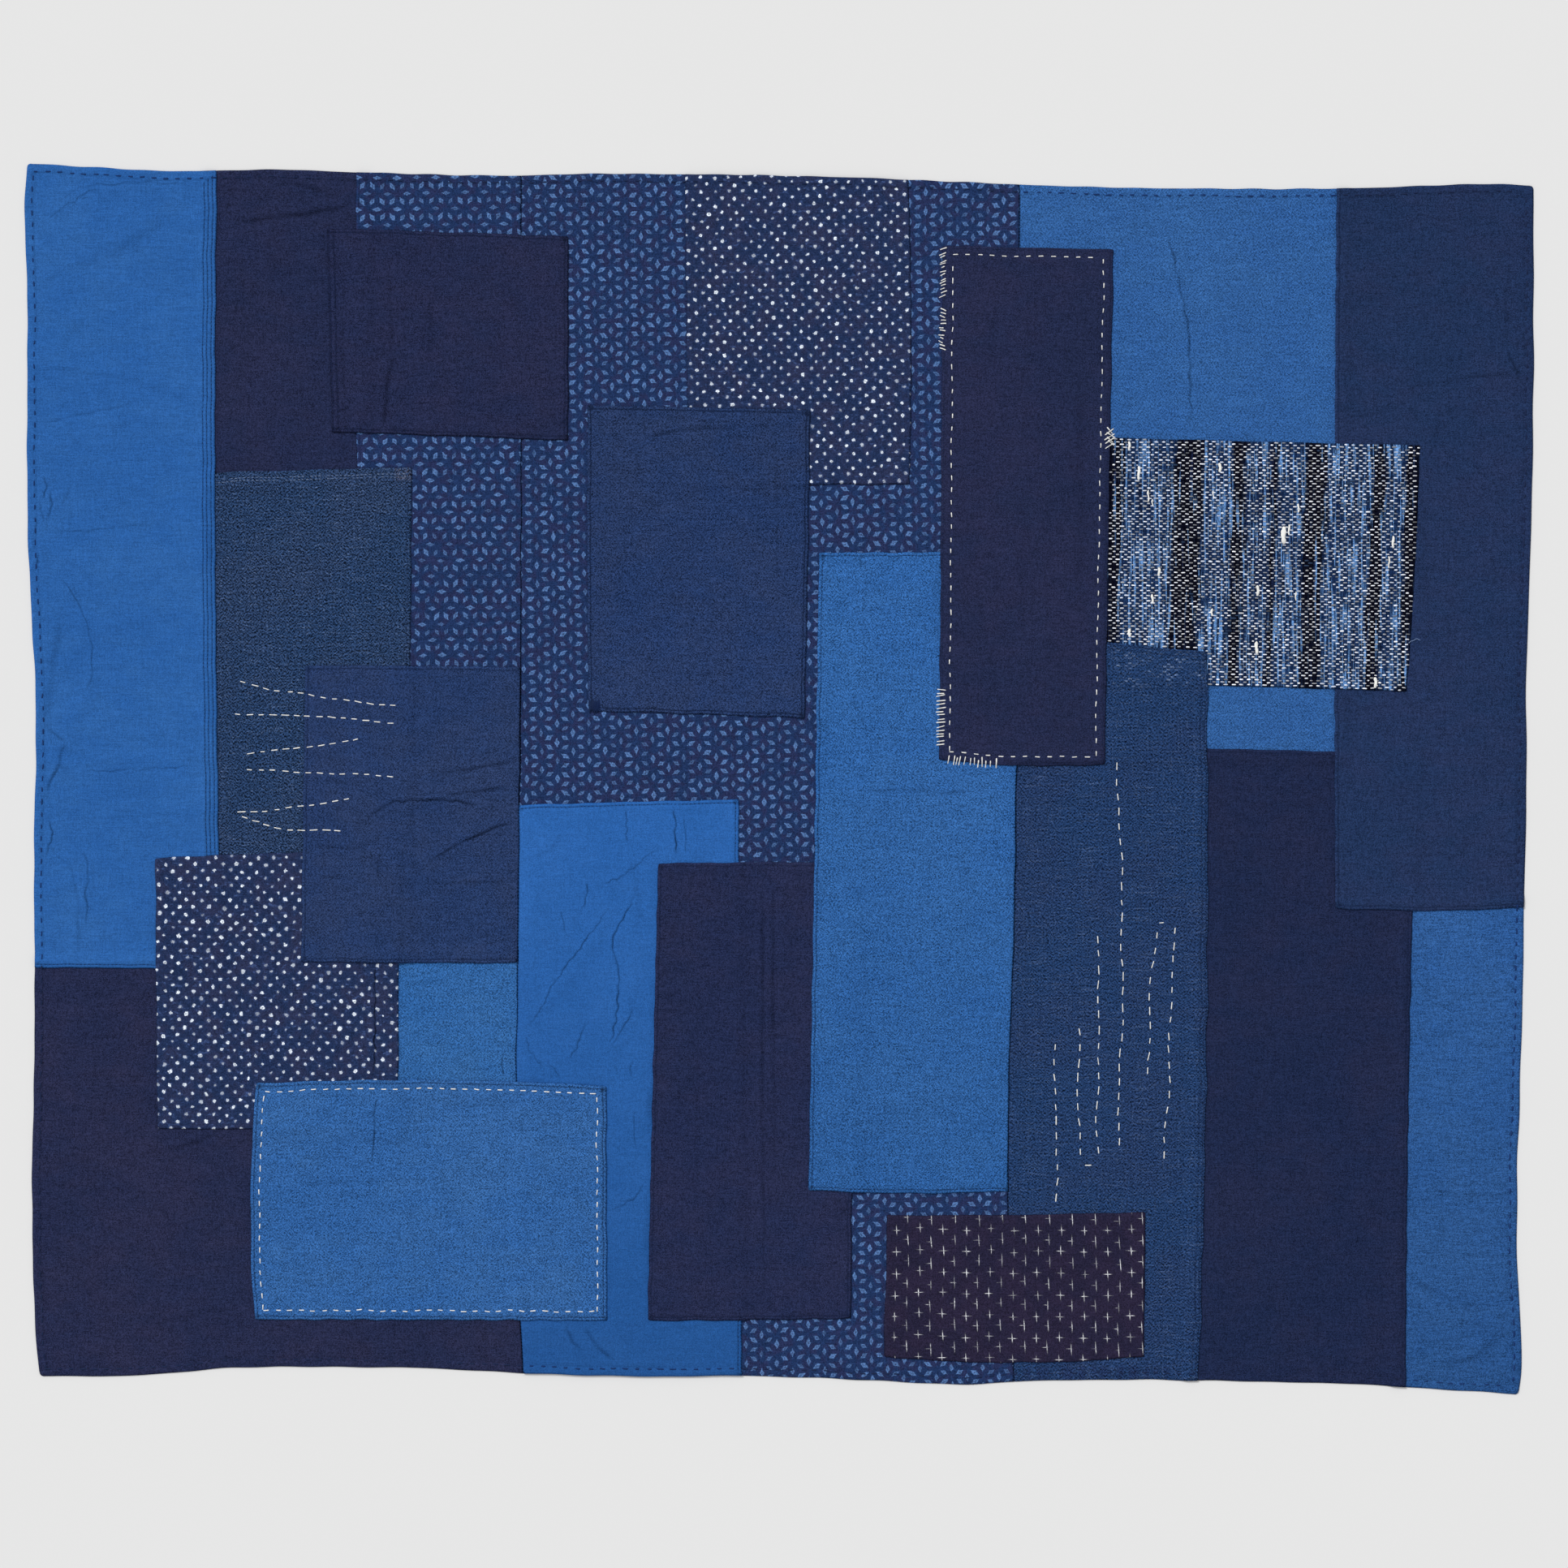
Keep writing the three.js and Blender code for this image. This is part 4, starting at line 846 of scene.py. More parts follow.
class Finish:
    """A material and short calls that add nodes to it."""

    def __init__(self, name):
        self.material = bpy.data.materials.new(name)
        self.material.use_nodes = True
        self.tree = self.material.node_tree
        self.tree.nodes.clear()
        self._mm = None

    def put(self, socket, value):
        if isinstance(value, bpy.types.NodeSocket):
            self.tree.links.new(value, socket)
        elif value is not None:
            socket.default_value = value

    def node(self, kind, **settings):
        n = self.tree.nodes.new(kind)
        for key, v in settings.items():
            setattr(n, key, v)
        return n

    def math(self, op, a, b=None, c=None, clamp=False):
        n = self.node("ShaderNodeMath", operation=op, use_clamp=clamp)
        for i, v in enumerate((a, b, c)):
            self.put(n.inputs[i], v)
        return n.outputs[0]

    def add(self, a, b):
        return self.math("ADD", a, b)

    def mul(self, a, b):
        return self.math("MULTIPLY", a, b)

    def sub(self, a, b):
        return self.math("SUBTRACT", a, b)

    def xyz(self, vector):
        n = self.node("ShaderNodeSeparateXYZ")
        self.put(n.inputs[0], vector)
        return n.outputs

    def vec(self, x, y, z=0.0):
        n = self.node("ShaderNodeCombineXYZ")
        for i, v in enumerate((x, y, z)):
            self.put(n.inputs[i], v)
        return n.outputs[0]

    def mm(self):
        """Place in mm."""
        if self._mm is None:
            place = self.node("ShaderNodeTexCoord").outputs["Object"]
            n = self.node("ShaderNodeVectorMath", operation="SCALE")
            self.put(n.inputs[0], place)
            n.inputs["Scale"].default_value = 1000.0
            self._mm = n.outputs[0]
        return self._mm

    def turned(self, degrees, shift=(0.0, 0.0), stretch=(1.0, 1.0)):
        """Place in mm, turned, shifted and stretched: (x, y)."""
        x, y, _ = self.xyz(self.mm())
        x, y = self.sub(x, shift[0]), self.sub(y, shift[1])
        c, s = math.cos(math.radians(degrees)), math.sin(math.radians(degrees))
        u = self.math("MULTIPLY_ADD", x, c, self.mul(y, s))
        v = self.math("MULTIPLY_ADD", y, c, self.mul(x, -s))
        return self.mul(u, stretch[0]), self.mul(v, stretch[1])

    def noise(self, vector, scale=1.0, detail=2.0, rough=0.5, distortion=0.0, colour=False):
        n = self.node("ShaderNodeTexNoise", noise_dimensions="3D")
        self.put(n.inputs["Vector"], vector)
        n.inputs["Scale"].default_value = scale
        n.inputs["Detail"].default_value = detail
        n.inputs["Roughness"].default_value = rough
        n.inputs["Distortion"].default_value = distortion
        return n.outputs["Color" if colour else "Fac"]

    def threads(self, x, y, along, across, seed, detail=1.0):
        """Noise drawn out along x: along and across are its sizes in mm."""
        return self.noise(self.vec(self.mul(x, 1 / along), self.mul(y, 1 / across), seed), 1.0, detail)

    def random(self, vector):
        n = self.node("ShaderNodeTexWhiteNoise", noise_dimensions="3D")
        self.put(n.inputs["Vector"], vector)
        return n.outputs

    def ease(self, v, a, b, lo=0.0, hi=1.0, kind="SMOOTHSTEP"):
        n = self.node("ShaderNodeMapRange", interpolation_type=kind)
        for i, w in enumerate((v, a, b, lo, hi)):
            self.put(n.inputs[i], w)
        return n.outputs[0]

    def mix(self, f, a, b, how="MIX"):
        n = self.node("ShaderNodeMix", data_type="RGBA", blend_type=how)
        self.put(n.inputs[0], f)
        self.put(n.inputs[6], a)
        self.put(n.inputs[7], b)
        return n.outputs[2]

    def scaled(self, colour, factor):
        """A colour times a number."""
        n = self.node("ShaderNodeVectorMath", operation="SCALE")
        self.put(n.inputs[0], colour)
        self.put(n.inputs["Scale"], factor)
        return n.outputs[0]

    def value(self, name):
        return self.node("ShaderNodeAttribute", attribute_name=name).outputs["Fac"]

    def end(self, colour, height=None, depth=0.0, rough=0.92, specular=0.08, sheen=0.0, tint=None):
        s = self.node("ShaderNodeBsdfPrincipled")
        self.put(s.inputs["Base Color"], colour)
        self.put(s.inputs["Roughness"], rough)
        s.inputs["Specular IOR Level"].default_value = specular
        if sheen:
            s.inputs["Sheen Weight"].default_value = sheen
            s.inputs["Sheen Roughness"].default_value = 0.5
            s.inputs["Sheen Tint"].default_value = tint
        if height is not None:
            b = self.node("ShaderNodeBump")
            b.inputs["Strength"].default_value = 1.0
            b.inputs["Distance"].default_value = depth * MM
            self.put(b.inputs["Height"], height)
            self.put(s.inputs["Normal"], b.outputs[0])
        out = self.node("ShaderNodeOutputMaterial")
        self.put(out.inputs["Surface"], s.outputs[0])
        return self.material


def crossings(f, x, y, wide, deep, seed):
    """A random number, -0.5 to 0.5, for each crossing of a warp and a weft thread."""
    i = f.math("FLOOR", f.mul(x, 1 / wide))
    j = f.math("FLOOR", f.mul(y, 1 / deep))
    return f.sub(f.random(f.vec(i, j, seed))[0], 0.5)


def lengths_of(f, x, y, long, pitch, seed):
    """A random number, -0.5 to 0.5, for each length of each thread along x."""
    j = f.math("FLOOR", f.mul(y, 1 / pitch))
    i = f.math("FLOOR", f.math("MULTIPLY_ADD", x, 1 / long, f.mul(j, 0.618)))
    return f.sub(f.random(f.vec(i, j, seed))[0], 0.5)


def weave(f, turn, grain, slub, seed, pitch=0.62, long=8.0, slub_size=(46.0, 1.6), streak=0.24, crisp=0.0, across=0.7):
    """The uneven threads of a plain weave: (factor for the colour, height, place)."""
    x, y = f.turned(turn)
    drift = f.mul(f.sub(f.noise(f.vec(x, y, seed), 1 / 26.0, 1.0), 0.5), 2.4)
    x, y = f.add(x, drift), f.add(y, drift)
    weft = lengths_of(f, x, y, long, pitch, seed)
    warp = lengths_of(f, y, x, long, pitch, seed + 7.3)
    both = f.math("MULTIPLY_ADD", warp, across, weft)
    spots = crossings(f, x, y, pitch, pitch, seed + 1.7)
    if crisp:
        # a thread beside a pale one is darker
        beside = 0.0
        for dx, dy in ((2, 0), (-2, 0), (0, 2), (0, -2)):
            beside = f.add(crossings(f, f.add(x, dx * pitch), f.add(y, dy * pitch), pitch, pitch, seed + 1.7), beside)
        spots = f.math("MULTIPLY_ADD", beside, -crisp, spots)
    slubs = f.sub(f.threads(x, y, slub_size[0], slub_size[1], seed + 3.1, 2.0), 0.5)
    factor = f.math("MULTIPLY_ADD", f.math("MULTIPLY_ADD", both, streak, spots), grain, 1.0)
    factor = f.math("MULTIPLY_ADD", slubs, slub, factor)
    height = f.math("MULTIPLY_ADD", spots, 0.35, f.math("MULTIPLY_ADD", slubs, 0.5, both))
    return f.math("MAXIMUM", factor, 0.12), height, (x, y)


def shaded(f, colour, factor):
    """The cloth's colour with its threads, its worn fold edges, and the painted shade of its creases, seams, hem steps
    and stitch grooves; the 1.035 lifts all of it a little, a painted brightening in place of brighter light on the
    cloth.
    """
    wear = f.value("wear")
    return f.scaled(colour, f.mul(factor, f.math("MAXIMUM", f.math("MULTIPLY_ADD", wear, 1.035, 1.035), 0.08)))


def plain_cloth(name, rgb, other, grain, slub, seed, turn=0.0, depth=0.10, blotch=90.0, fade=0.06, ends=None, streak=0.24, crisp=0.0, across=0.7):
    """Plain indigo cotton: a second colour drifts through it in soft patches. ends is (y, factor, y, factor): a painted
    light falloff, the colour scaled from one factor to the other between the two heights.
    """
    f = Finish(name)
    factor, height, (x, y) = weave(f, turn, grain, slub, seed, streak=streak, crisp=crisp, across=across)
    drift = f.noise(f.vec(x, y, seed), 1.0 / blotch, 3.0, 0.55)
    small = f.noise(f.vec(f.mul(x, 0.6), y, seed + 2.0), 1.0 / 14.0, 3.0, 0.6)
    patch = f.add(f.mul(drift, 0.55), f.mul(small, 0.45))
    colour = f.mix(f.ease(patch, 0.36, 0.64), linear(rgb), linear(other))
    factor = f.mul(factor, f.math("MULTIPLY_ADD", f.sub(drift, 0.5), fade * 4, 1.0))
    factor = f.mul(factor, f.math("MULTIPLY_ADD", f.sub(small, 0.5), fade * 2.5, 1.0))
    # painted light falloff between two heights
    if ends:
        factor = f.mul(factor, f.ease(f.xyz(f.mm())[1], ends[0], ends[2], ends[1], ends[3], "LINEAR"))
    rough = f.ease(height, -0.6, 0.6, 0.98, 0.84, "LINEAR")
    return f.end(shaded(f, colour, factor), height, depth, rough, 0.015)


def rhombs(f, x, y, pitch, half_long, half_wide, uneven):
    """One family of small rhombs, on rows half a pitch apart in turn: (cover, core, random number)."""
    rows = f.mul(y, 1 / (pitch * 0.8660254))
    j = f.math("ROUND", rows)
    fv = f.mul(f.sub(rows, j), pitch * 0.8660254)
    odd = f.math("FLOORED_MODULO", j, 2.0)
    cols = f.sub(f.mul(x, 1 / pitch), f.math("MULTIPLY_ADD", odd, 0.5, 0.5))
    i = f.math("ROUND", cols)
    fu = f.mul(f.sub(cols, i), pitch)
    any_ = f.random(f.vec(i, j, half_long))
    size = f.math("MULTIPLY_ADD", any_[0], 0.24, 0.88)
    m = f.math("MULTIPLY_ADD", f.math("ABSOLUTE", fv), 1 / half_wide, f.mul(f.math("ABSOLUTE", fu), 1 / half_long))
    m = f.math("DIVIDE", m, size)
    m = f.math("MULTIPLY_ADD", uneven, 0.95, m)
    return f.ease(m, 1.18, 0.82), f.ease(m, 0.55, 0.1), any_[0]


def hempleaf(name, turn, pitch, stretch, seed, shift):
    """Hemp-leaf print: small pale rhombs along the lines of a triangle net, on dark indigo."""
    f = Finish(name)
    factor, height, _ = weave(f, 0.0, 0.75, 0.10, seed)
    x, y = f.turned(turn, shift, stretch)
    drift = f.node("ShaderNodeSeparateColor")
    f.put(drift.inputs[0], f.noise(f.vec(x, y, seed), 1 / 34.0, 1.0, 0.5, 0.0, True))
    x = f.math("MULTIPLY_ADD", f.sub(drift.outputs[0], 0.5), 3.6, x)
    y = f.math("MULTIPLY_ADD", f.sub(drift.outputs[1], 0.5), 3.6, y)
    uneven = f.sub(f.noise(f.vec(x, y, seed), 1 / 1.5, 2.0, 0.6), 0.5)
    cover = None
    for angle in (0, 60, 120):
        c, q = math.cos(math.radians(angle)), math.sin(math.radians(angle))
        u = f.math("MULTIPLY_ADD", x, c, f.mul(y, q))
        v = f.math("MULTIPLY_ADD", y, c, f.mul(x, -q))
        one, core, any_ = rhombs(f, u, v, pitch, 3.15 + 0.001 * angle, 1.66, uneven)
        tone = f.mul(one, f.math("MULTIPLY_ADD", any_, 0.62, 0.48))
        tone = f.mul(tone, f.math("MULTIPLY_ADD", core, -0.58, 1.0))
        cover = tone if cover is None else f.math("MAXIMUM", cover, tone)
    grainy = f.ease(f.noise(f.vec(x, y, seed + 4), 1 / 0.9, 2.0, 0.7), 0.28, 0.62, 0.36, 1.22)
    cover = f.mul(cover, grainy)
    ground = f.mix(f.ease(f.noise(f.vec(x, y, seed + 9), 1 / 7.0, 2.0), 0.42, 0.62), linear((33, 52, 92)), linear((39, 48, 85)))
    colour = f.mix(f.math("MINIMUM", cover, 1.0), ground, linear((87, 122, 175)))
    rough = f.ease(height, -0.6, 0.6, 0.98, 0.84, "LINEAR")
    return f.end(shaded(f, colour, factor), height, 0.09, rough, 0.015)


def dotted(name, turn, seed, shift, size):
    """Small uneven white dots in staggered rows, each with a darker heart, on dark indigo with blue smudges."""
    f = Finish(name)
    factor, height, _ = weave(f, 0.0, 0.75, 0.10, seed)
    x, y = f.turned(turn, shift)
    drift = f.node("ShaderNodeSeparateColor")
    f.put(drift.inputs[0], f.noise(f.vec(x, y, seed), 1 / 30.0, 1.0, 0.5, 0.0, True))
    x = f.math("MULTIPLY_ADD", f.sub(drift.outputs[0], 0.5), 4.0, x)
    y = f.math("MULTIPLY_ADD", f.sub(drift.outputs[1], 0.5), 4.0, y)
    rows = f.mul(y, 1 / 5.28)
    j = f.math("ROUND", rows)
    odd = f.mul(f.math("FLOORED_MODULO", j, 2.0), 0.5)
    cols = f.sub(f.mul(x, 1 / 10.44), odd)
    i = f.math("ROUND", cols)
    any_ = f.random(f.vec(i, j, seed))
    three = f.node("ShaderNodeSeparateColor")
    f.put(three.inputs[0], any_[1])
    r0, r1, r2 = three.outputs[0], three.outputs[1], three.outputs[2]
    fu = f.math("MULTIPLY_ADD", f.sub(r0, 0.5), 1.9, f.mul(f.sub(cols, i), 10.44))
    fv = f.math("MULTIPLY_ADD", f.sub(r1, 0.5), 1.5, f.mul(f.sub(rows, j), 5.28))
    d = f.math("SQRT", f.add(f.mul(fu, fu), f.mul(fv, fv)))
    ragged = f.sub(f.noise(f.vec(x, y, seed), 1 / 1.6, 2.0, 0.6), 0.5)
    d = f.math("MULTIPLY_ADD", ragged, 2.8, d)
    radius = f.math("MULTIPLY_ADD", r2, 0.60, size)
    blob = f.ease(f.sub(d, radius), 0.28, -0.28)
    core = f.mul(f.ease(d, 0.85, 0.1), f.ease(any_[0], 0.1, 0.9, 0.0, 0.5))
    tone = f.math("MULTIPLY_ADD", f.math("POWER", any_[0], 0.9), 0.98, 0.26)
    cover = f.mul(f.mul(blob, f.sub(1.0, core)), tone)
    halo = f.mul(f.ease(f.sub(d, radius), 1.4, 0.0), 0.26)
    smudge = f.mul(f.ease(f.noise(f.vec(f.mul(x, 0.6), y, seed + 6), 1 / 2.4, 1.0), 0.60, 0.75), 0.38)
    ground = f.mix(f.ease(f.noise(f.vec(x, y, seed + 9), 1 / 11.0, 3.0, 0.6), 0.38, 0.66), linear((34, 49, 84)), linear((44, 51, 82)))
    colour = f.mix(f.math("MAXIMUM", halo, smudge), ground, linear((78, 102, 158)))
    colour = f.mix(f.math("MINIMUM", cover, 1.0), colour, linear((232, 241, 252)))
    rough = f.ease(height, -0.6, 0.6, 0.98, 0.84, "LINEAR")
    return f.end(shaded(f, colour, factor), height, 0.10, rough, 0.015)


def kasuri_cloth(name, turn, seed, shift):
    """Dark cloth with small fuzzy white crosses and bars in columns, shifted a little from column to column."""
    f = Finish(name)
    factor, height, _ = weave(f, 0.0, 0.7, 0.12, seed)
    x, y = f.turned(turn, shift)
    drift = f.node("ShaderNodeSeparateColor")
    f.put(drift.inputs[0], f.noise(f.vec(x, y, seed), 1 / 45.0, 1.0, 0.5, 0.0, True))
    x = f.math("MULTIPLY_ADD", f.sub(drift.outputs[0], 0.5), 2.6, x)
    y = f.math("MULTIPLY_ADD", f.sub(drift.outputs[1], 0.5), 2.4, y)
    weft = f.sub(f.threads(x, y, 5.0, 0.35, seed, 0.0), 0.5)
    warp = f.sub(f.threads(y, x, 5.0, 0.35, seed + 2, 0.0), 0.5)

    def bars(px, py, key, up, wide, tick, thick):
        cols = f.mul(px, 1 / 17.4)
        i = f.math("ROUND", cols)
        shift_y = f.mul(f.sub(f.random(f.vec(i, key, 1.0))[0], 0.5), 2.8)
        rows = f.mul(f.add(py, shift_y), 1 / 15.9)
        j = f.math("ROUND", rows)
        any_ = f.random(f.vec(i, j, key))
        three = f.node("ShaderNodeSeparateColor")
        f.put(three.inputs[0], any_[1])
        u = f.math("MULTIPLY_ADD", f.sub(three.outputs[0], 0.5), 1.0, f.mul(f.sub(cols, i), 17.4))
        v = f.math("MULTIPLY_ADD", f.sub(three.outputs[1], 0.5), 1.0, f.mul(f.sub(rows, j), 15.9))
        v_long = f.math("MULTIPLY_ADD", warp, 5.0, v)
        u_long = f.math("MULTIPLY_ADD", weft, 5.0, u)
        bend = f.math("MULTIPLY_ADD", v, 0.06, u)
        stem = f.mul(f.ease(f.math("ABSOLUTE", bend), thick + 0.24, thick - 0.20), f.ease(f.math("ABSOLUTE", v_long), up + 1.3, up - 2.3))
        arm = f.mul(f.ease(f.math("ABSOLUTE", v), thick + 0.22, thick - 0.20), f.ease(f.math("ABSOLUTE", f.sub(u_long, tick)), wide + 1.3, wide - 2.2))
        stem = f.mul(stem, f.math("MULTIPLY_ADD", three.outputs[2], 0.8, 0.42))
        arm = f.mul(arm, f.math("MULTIPLY_ADD", any_[0], 0.9, 0.30))
        return f.math("MAXIMUM", stem, arm)

    plus = bars(x, y, 3.0, 2.9, 2.4, 0.0, 0.22)
    bar = bars(f.sub(x, 8.5), f.sub(y, 8.0), 5.0, 3.7, 1.2, -1.2, 0.21)
    cover = f.math("MAXIMUM", plus, f.mul(bar, 0.85))
    broken = f.ease(f.noise(f.vec(x, y, seed + 4), 1 / 0.8, 1.0, 0.5), 0.25, 0.6, 0.4, 1.1)
    ground = f.mix(f.ease(f.noise(f.vec(x, y, seed + 9), 1 / 20.0, 2.0), 0.4, 0.65), linear((43, 38, 61)), linear((38, 36, 59)))
    colour = f.mix(f.math("MINIMUM", f.mul(cover, broken), 1.0), ground, linear((236, 238, 242)))
    rough = f.ease(height, -0.6, 0.6, 0.98, 0.84, "LINEAR")
    return f.end(shaded(f, colour, factor), height, 0.12, rough, 0.015)


def loose_cloth(name, rgb, other, seed, turn, grain, flecks, corner=None, through=None):
    """Loosely woven indigo: uneven threads both ways with paler slubs and small pale flecks."""
    f = Finish(name)
    x, y = f.turned(turn)
    wob = f.mul(f.sub(f.noise(f.vec(x, y, seed), 1 / 16.0, 2.0), 0.5), 3.0)
    x, y = f.add(x, wob), f.add(y, wob)
    weft = lengths_of(f, x, y, 9.0, 0.62, seed)
    weft = f.math("MULTIPLY_ADD", lengths_of(f, x, f.add(y, 1.24), 9.0, 0.62, seed), -0.6, weft)
    warp = lengths_of(f, y, x, 9.0, 0.62, seed + 5)
    warp = f.math("MULTIPLY_ADD", lengths_of(f, y, f.add(x, 1.24), 9.0, 0.62, seed + 5), -0.6, warp)
    spots = crossings(f, x, y, 0.7, 0.62, seed + 2)
    for dx, dy in ((1.4, 0.0), (0.0, 1.24), (0.0, -1.24)):
        spots = f.math("MULTIPLY_ADD", crossings(f, f.add(x, dx), f.add(y, dy), 0.7, 0.62, seed + 2), -0.26, spots)
    both = f.math("MULTIPLY_ADD", warp, 0.75, weft)
    slub = f.ease(f.threads(x, y, 20.0, 1.0, seed + 8, 1.0), 0.54, 0.76)
    slub_up = f.ease(f.threads(y, x, 18.0, 1.0, seed + 11, 1.0), 0.56, 0.78)
    fleck = f.ease(lengths_of(f, x, y, 1.6, 0.75, seed + 13), 0.472, 0.488)
    patch = f.noise(f.vec(x, y, seed), 1 / 60.0, 3.0, 0.6)
    colour = f.mix(f.ease(patch, 0.35, 0.65), linear(rgb), linear(other))
    pale = f.math("MINIMUM", f.add(f.mul(slub, 0.22), f.add(f.mul(slub_up, 0.15), f.mul(fleck, flecks))), 1.0)
    colour = f.mix(f.mul(pale, 0.8), colour, linear((104, 124, 160)))
    if through:
        # the weave below shows through a sheer end of the cloth
        x0, x1, y0, y1 = through
        px, py, _ = f.xyz(f.mm())
        rows = f.mul(f.math("MULTIPLY_ADD", px, 0.028, py), 1 / 1.89)
        j = f.math("ROUND", rows)
        cols = f.math("MULTIPLY_ADD", px, 1 / 5.7, f.mul(f.math("FLOORED_MODULO", j, 2.0), 0.5))
        i = f.math("ROUND", cols)
        dash = f.mul(f.ease(f.math("ABSOLUTE", f.sub(cols, i)), 0.30, 0.16), f.ease(f.math("ABSOLUTE", f.sub(rows, j)), 0.42, 0.2))
        dash = f.mul(dash, f.ease(f.random(f.vec(i, j, 3.0))[0], 0.25, 0.9))
        area = f.mul(f.mul(f.ease(px, x0 - 1, x0 + 1), f.ease(px, x1 + 1, x1 - 1)), f.mul(f.ease(py, y0 - 1.5, y0 + 4.5), f.ease(py, y1 + 4, y1 - 8)))
        some = f.ease(f.noise(f.vec(px, py, 3.0), 1 / 12.0, 2.0), 0.40, 0.62, 0.1, 1.0)
        colour = f.mix(f.mul(f.mul(dash, area), f.mul(some, 0.36)), colour, linear((150, 172, 208)))
        # and so do the print's rows below along its lower edge
        bars = f.ease(f.noise(f.vec(px, f.mul(py, 0.15), 8.0), 1 / 4.6, 0.0), 0.38, 0.60)
        bars = f.mul(bars, f.mul(f.ease(py, -431.0, -437.0), f.ease(px, 296.0, 284.0)))
        colour = f.mix(f.mul(bars, 0.42), colour, linear((33, 44, 82)))
    if corner:
        # brown darning thread worked over one corner
        cx, cy, wide, deep = corner
        px, py, _ = f.xyz(f.mm())
        area = f.mul(f.ease(f.math("ABSOLUTE", f.sub(px, cx)), wide + 2.0, wide - 3.0), f.ease(f.math("ABSOLUTE", f.sub(py, cy)), deep + 1.6, deep - 2.0))
        speck = f.ease(f.noise(f.vec(px, f.mul(py, 1.4), 5.0), 1 / 0.9, 2.0, 0.7), 0.46, 0.62)
        colour = f.mix(f.mul(f.mul(area, speck), 0.45), colour, linear((108, 100, 104)))
    factor = f.math("MULTIPLY_ADD", f.math("MULTIPLY_ADD", both, 0.22, spots), grain, 1.0)
    factor = f.mul(f.math("MAXIMUM", factor, 0.15), f.math("MULTIPLY_ADD", f.sub(patch, 0.5), 0.3, 1.0))
    height = f.add(f.math("MULTIPLY_ADD", spots, 0.5, both), f.mul(slub, 0.5))
    rough = f.ease(height, -0.6, 0.9, 0.98, 0.82, "LINEAR")
    return f.end(shaded(f, colour, factor), height, 0.16, rough, 0.015)


# stripes of the slub weave: where each starts across the cloth, mm, and its colour
STRIPES = [(239, "k"), (252.5, "b"), (289.5, "k"), (312, "b"), (333, "k"), (343.5, "m"), (361.5, "k"), (367.5, "b"), (387, "k"),
           (402.5, "b"), (435.5, "k"), (445.5, "b"), (461, "k"), (480, "k")]


# patches of dark slub in it that carry no floats: place, half sizes, turn
BARE = [(290, 229, 6, 2.2, 0.5), (296, 218, 3, 3, 0), (297, 176, 3.2, 3.4, 0), (305, 136, 2.4, 4, 0), (338, 122, 8, 3.0, 0.75),
        (332, 110, 4, 3, 0.6), (391, 160, 3.4, 3.2, 0), (384, 119, 3.2, 4, 0), (381, 132, 3, 2.4, 0), (430, 177, 5, 2.4, 0.5),
        (437, 206, 2.6, 4, 0), (424, 219, 4.5, 2.0, 0.8), (399, 240, 2.6, 4, 0), (378, 222, 3, 2, 0.3)]


def striped_cloth(name, seed):
    """Warp stripes of black and blues for the slub weave."""
    f = Finish(name)
    px, py, _ = f.xyz(f.mm())
    lean = f.math("MULTIPLY_ADD", f.sub(py, 160.0), -0.040, px)
    lean = f.math("MULTIPLY_ADD", f.sub(f.threads(py, px, 34.0, 7.0, seed, 2.0), 0.5), 12.0, lean)
    lean = f.math("MULTIPLY_ADD", f.sub(f.threads(py, px, 24.0, 1.3, seed + 3, 1.0), 0.5), 6.0, lean)
    ramp = f.node("ShaderNodeValToRGB")
    f.put(ramp.inputs[0], f.ease(lean, 239.0, 480.0, 0.0, 1.0, "LINEAR"))
    tones = {"k": linear((10, 10, 23)), "b": linear((24, 43, 78)), "m": linear((22, 37, 69))}
    stops = []
    for (a, tone), (b, _) in zip(STRIPES[:-1], STRIPES[1:]):
        stops += [((a + 1.9 - 239) / 241, tone), ((b - 1.9 - 239) / 241, tone)]
    while len(ramp.color_ramp.elements) < len(stops):
        ramp.color_ramp.elements.new(0.5)
    for e, (place, tone) in zip(ramp.color_ramp.elements, stops):
        e.position, e.color = place, tones[tone]
    warp = f.threads(py, px, 12.0, 0.8, seed + 2, 2.0)
    pale = f.ease(f.threads(py, px, 44.0, 2.0, seed + 4, 2.0), 0.49, 0.66)
    weft = f.threads(px, py, 3.0, 0.7, seed + 6, 1.0)
    value = f.node("ShaderNodeSeparateColor")
    f.put(value.inputs[0], ramp.outputs[0])
    # lengths of the other dye along the warp
    other = f.ease(f.threads(py, px, 60.0, 2.6, seed + 12, 2.0), 0.56, 0.66)
    tint = f.mix(f.ease(value.outputs[2], 0.02, 0.03), linear((27, 38, 70)), linear((20, 24, 42)))
    ground = f.mix(f.mul(other, 0.7), ramp.outputs[0], tint)
    after = f.node("ShaderNodeSeparateColor")
    f.put(after.inputs[0], ground)
    blue = f.ease(after.outputs[2], 0.012, 0.045)
    colour = f.mix(f.mul(pale, f.math("MULTIPLY_ADD", blue, 0.86, 0.02)), ground, linear((103, 147, 203)))
    both = f.sub(f.add(warp, weft), 1.0)
    spots = crossings(f, px, py, 0.7, 0.8, seed + 9)
    factor = f.math("MAXIMUM", f.math("MULTIPLY_ADD", f.add(both, f.mul(spots, 0.9)), 1.3, 1.0), 0.2)
    return f.end(shaded(f, colour, factor), both, 0.25, 0.93, 0.015)


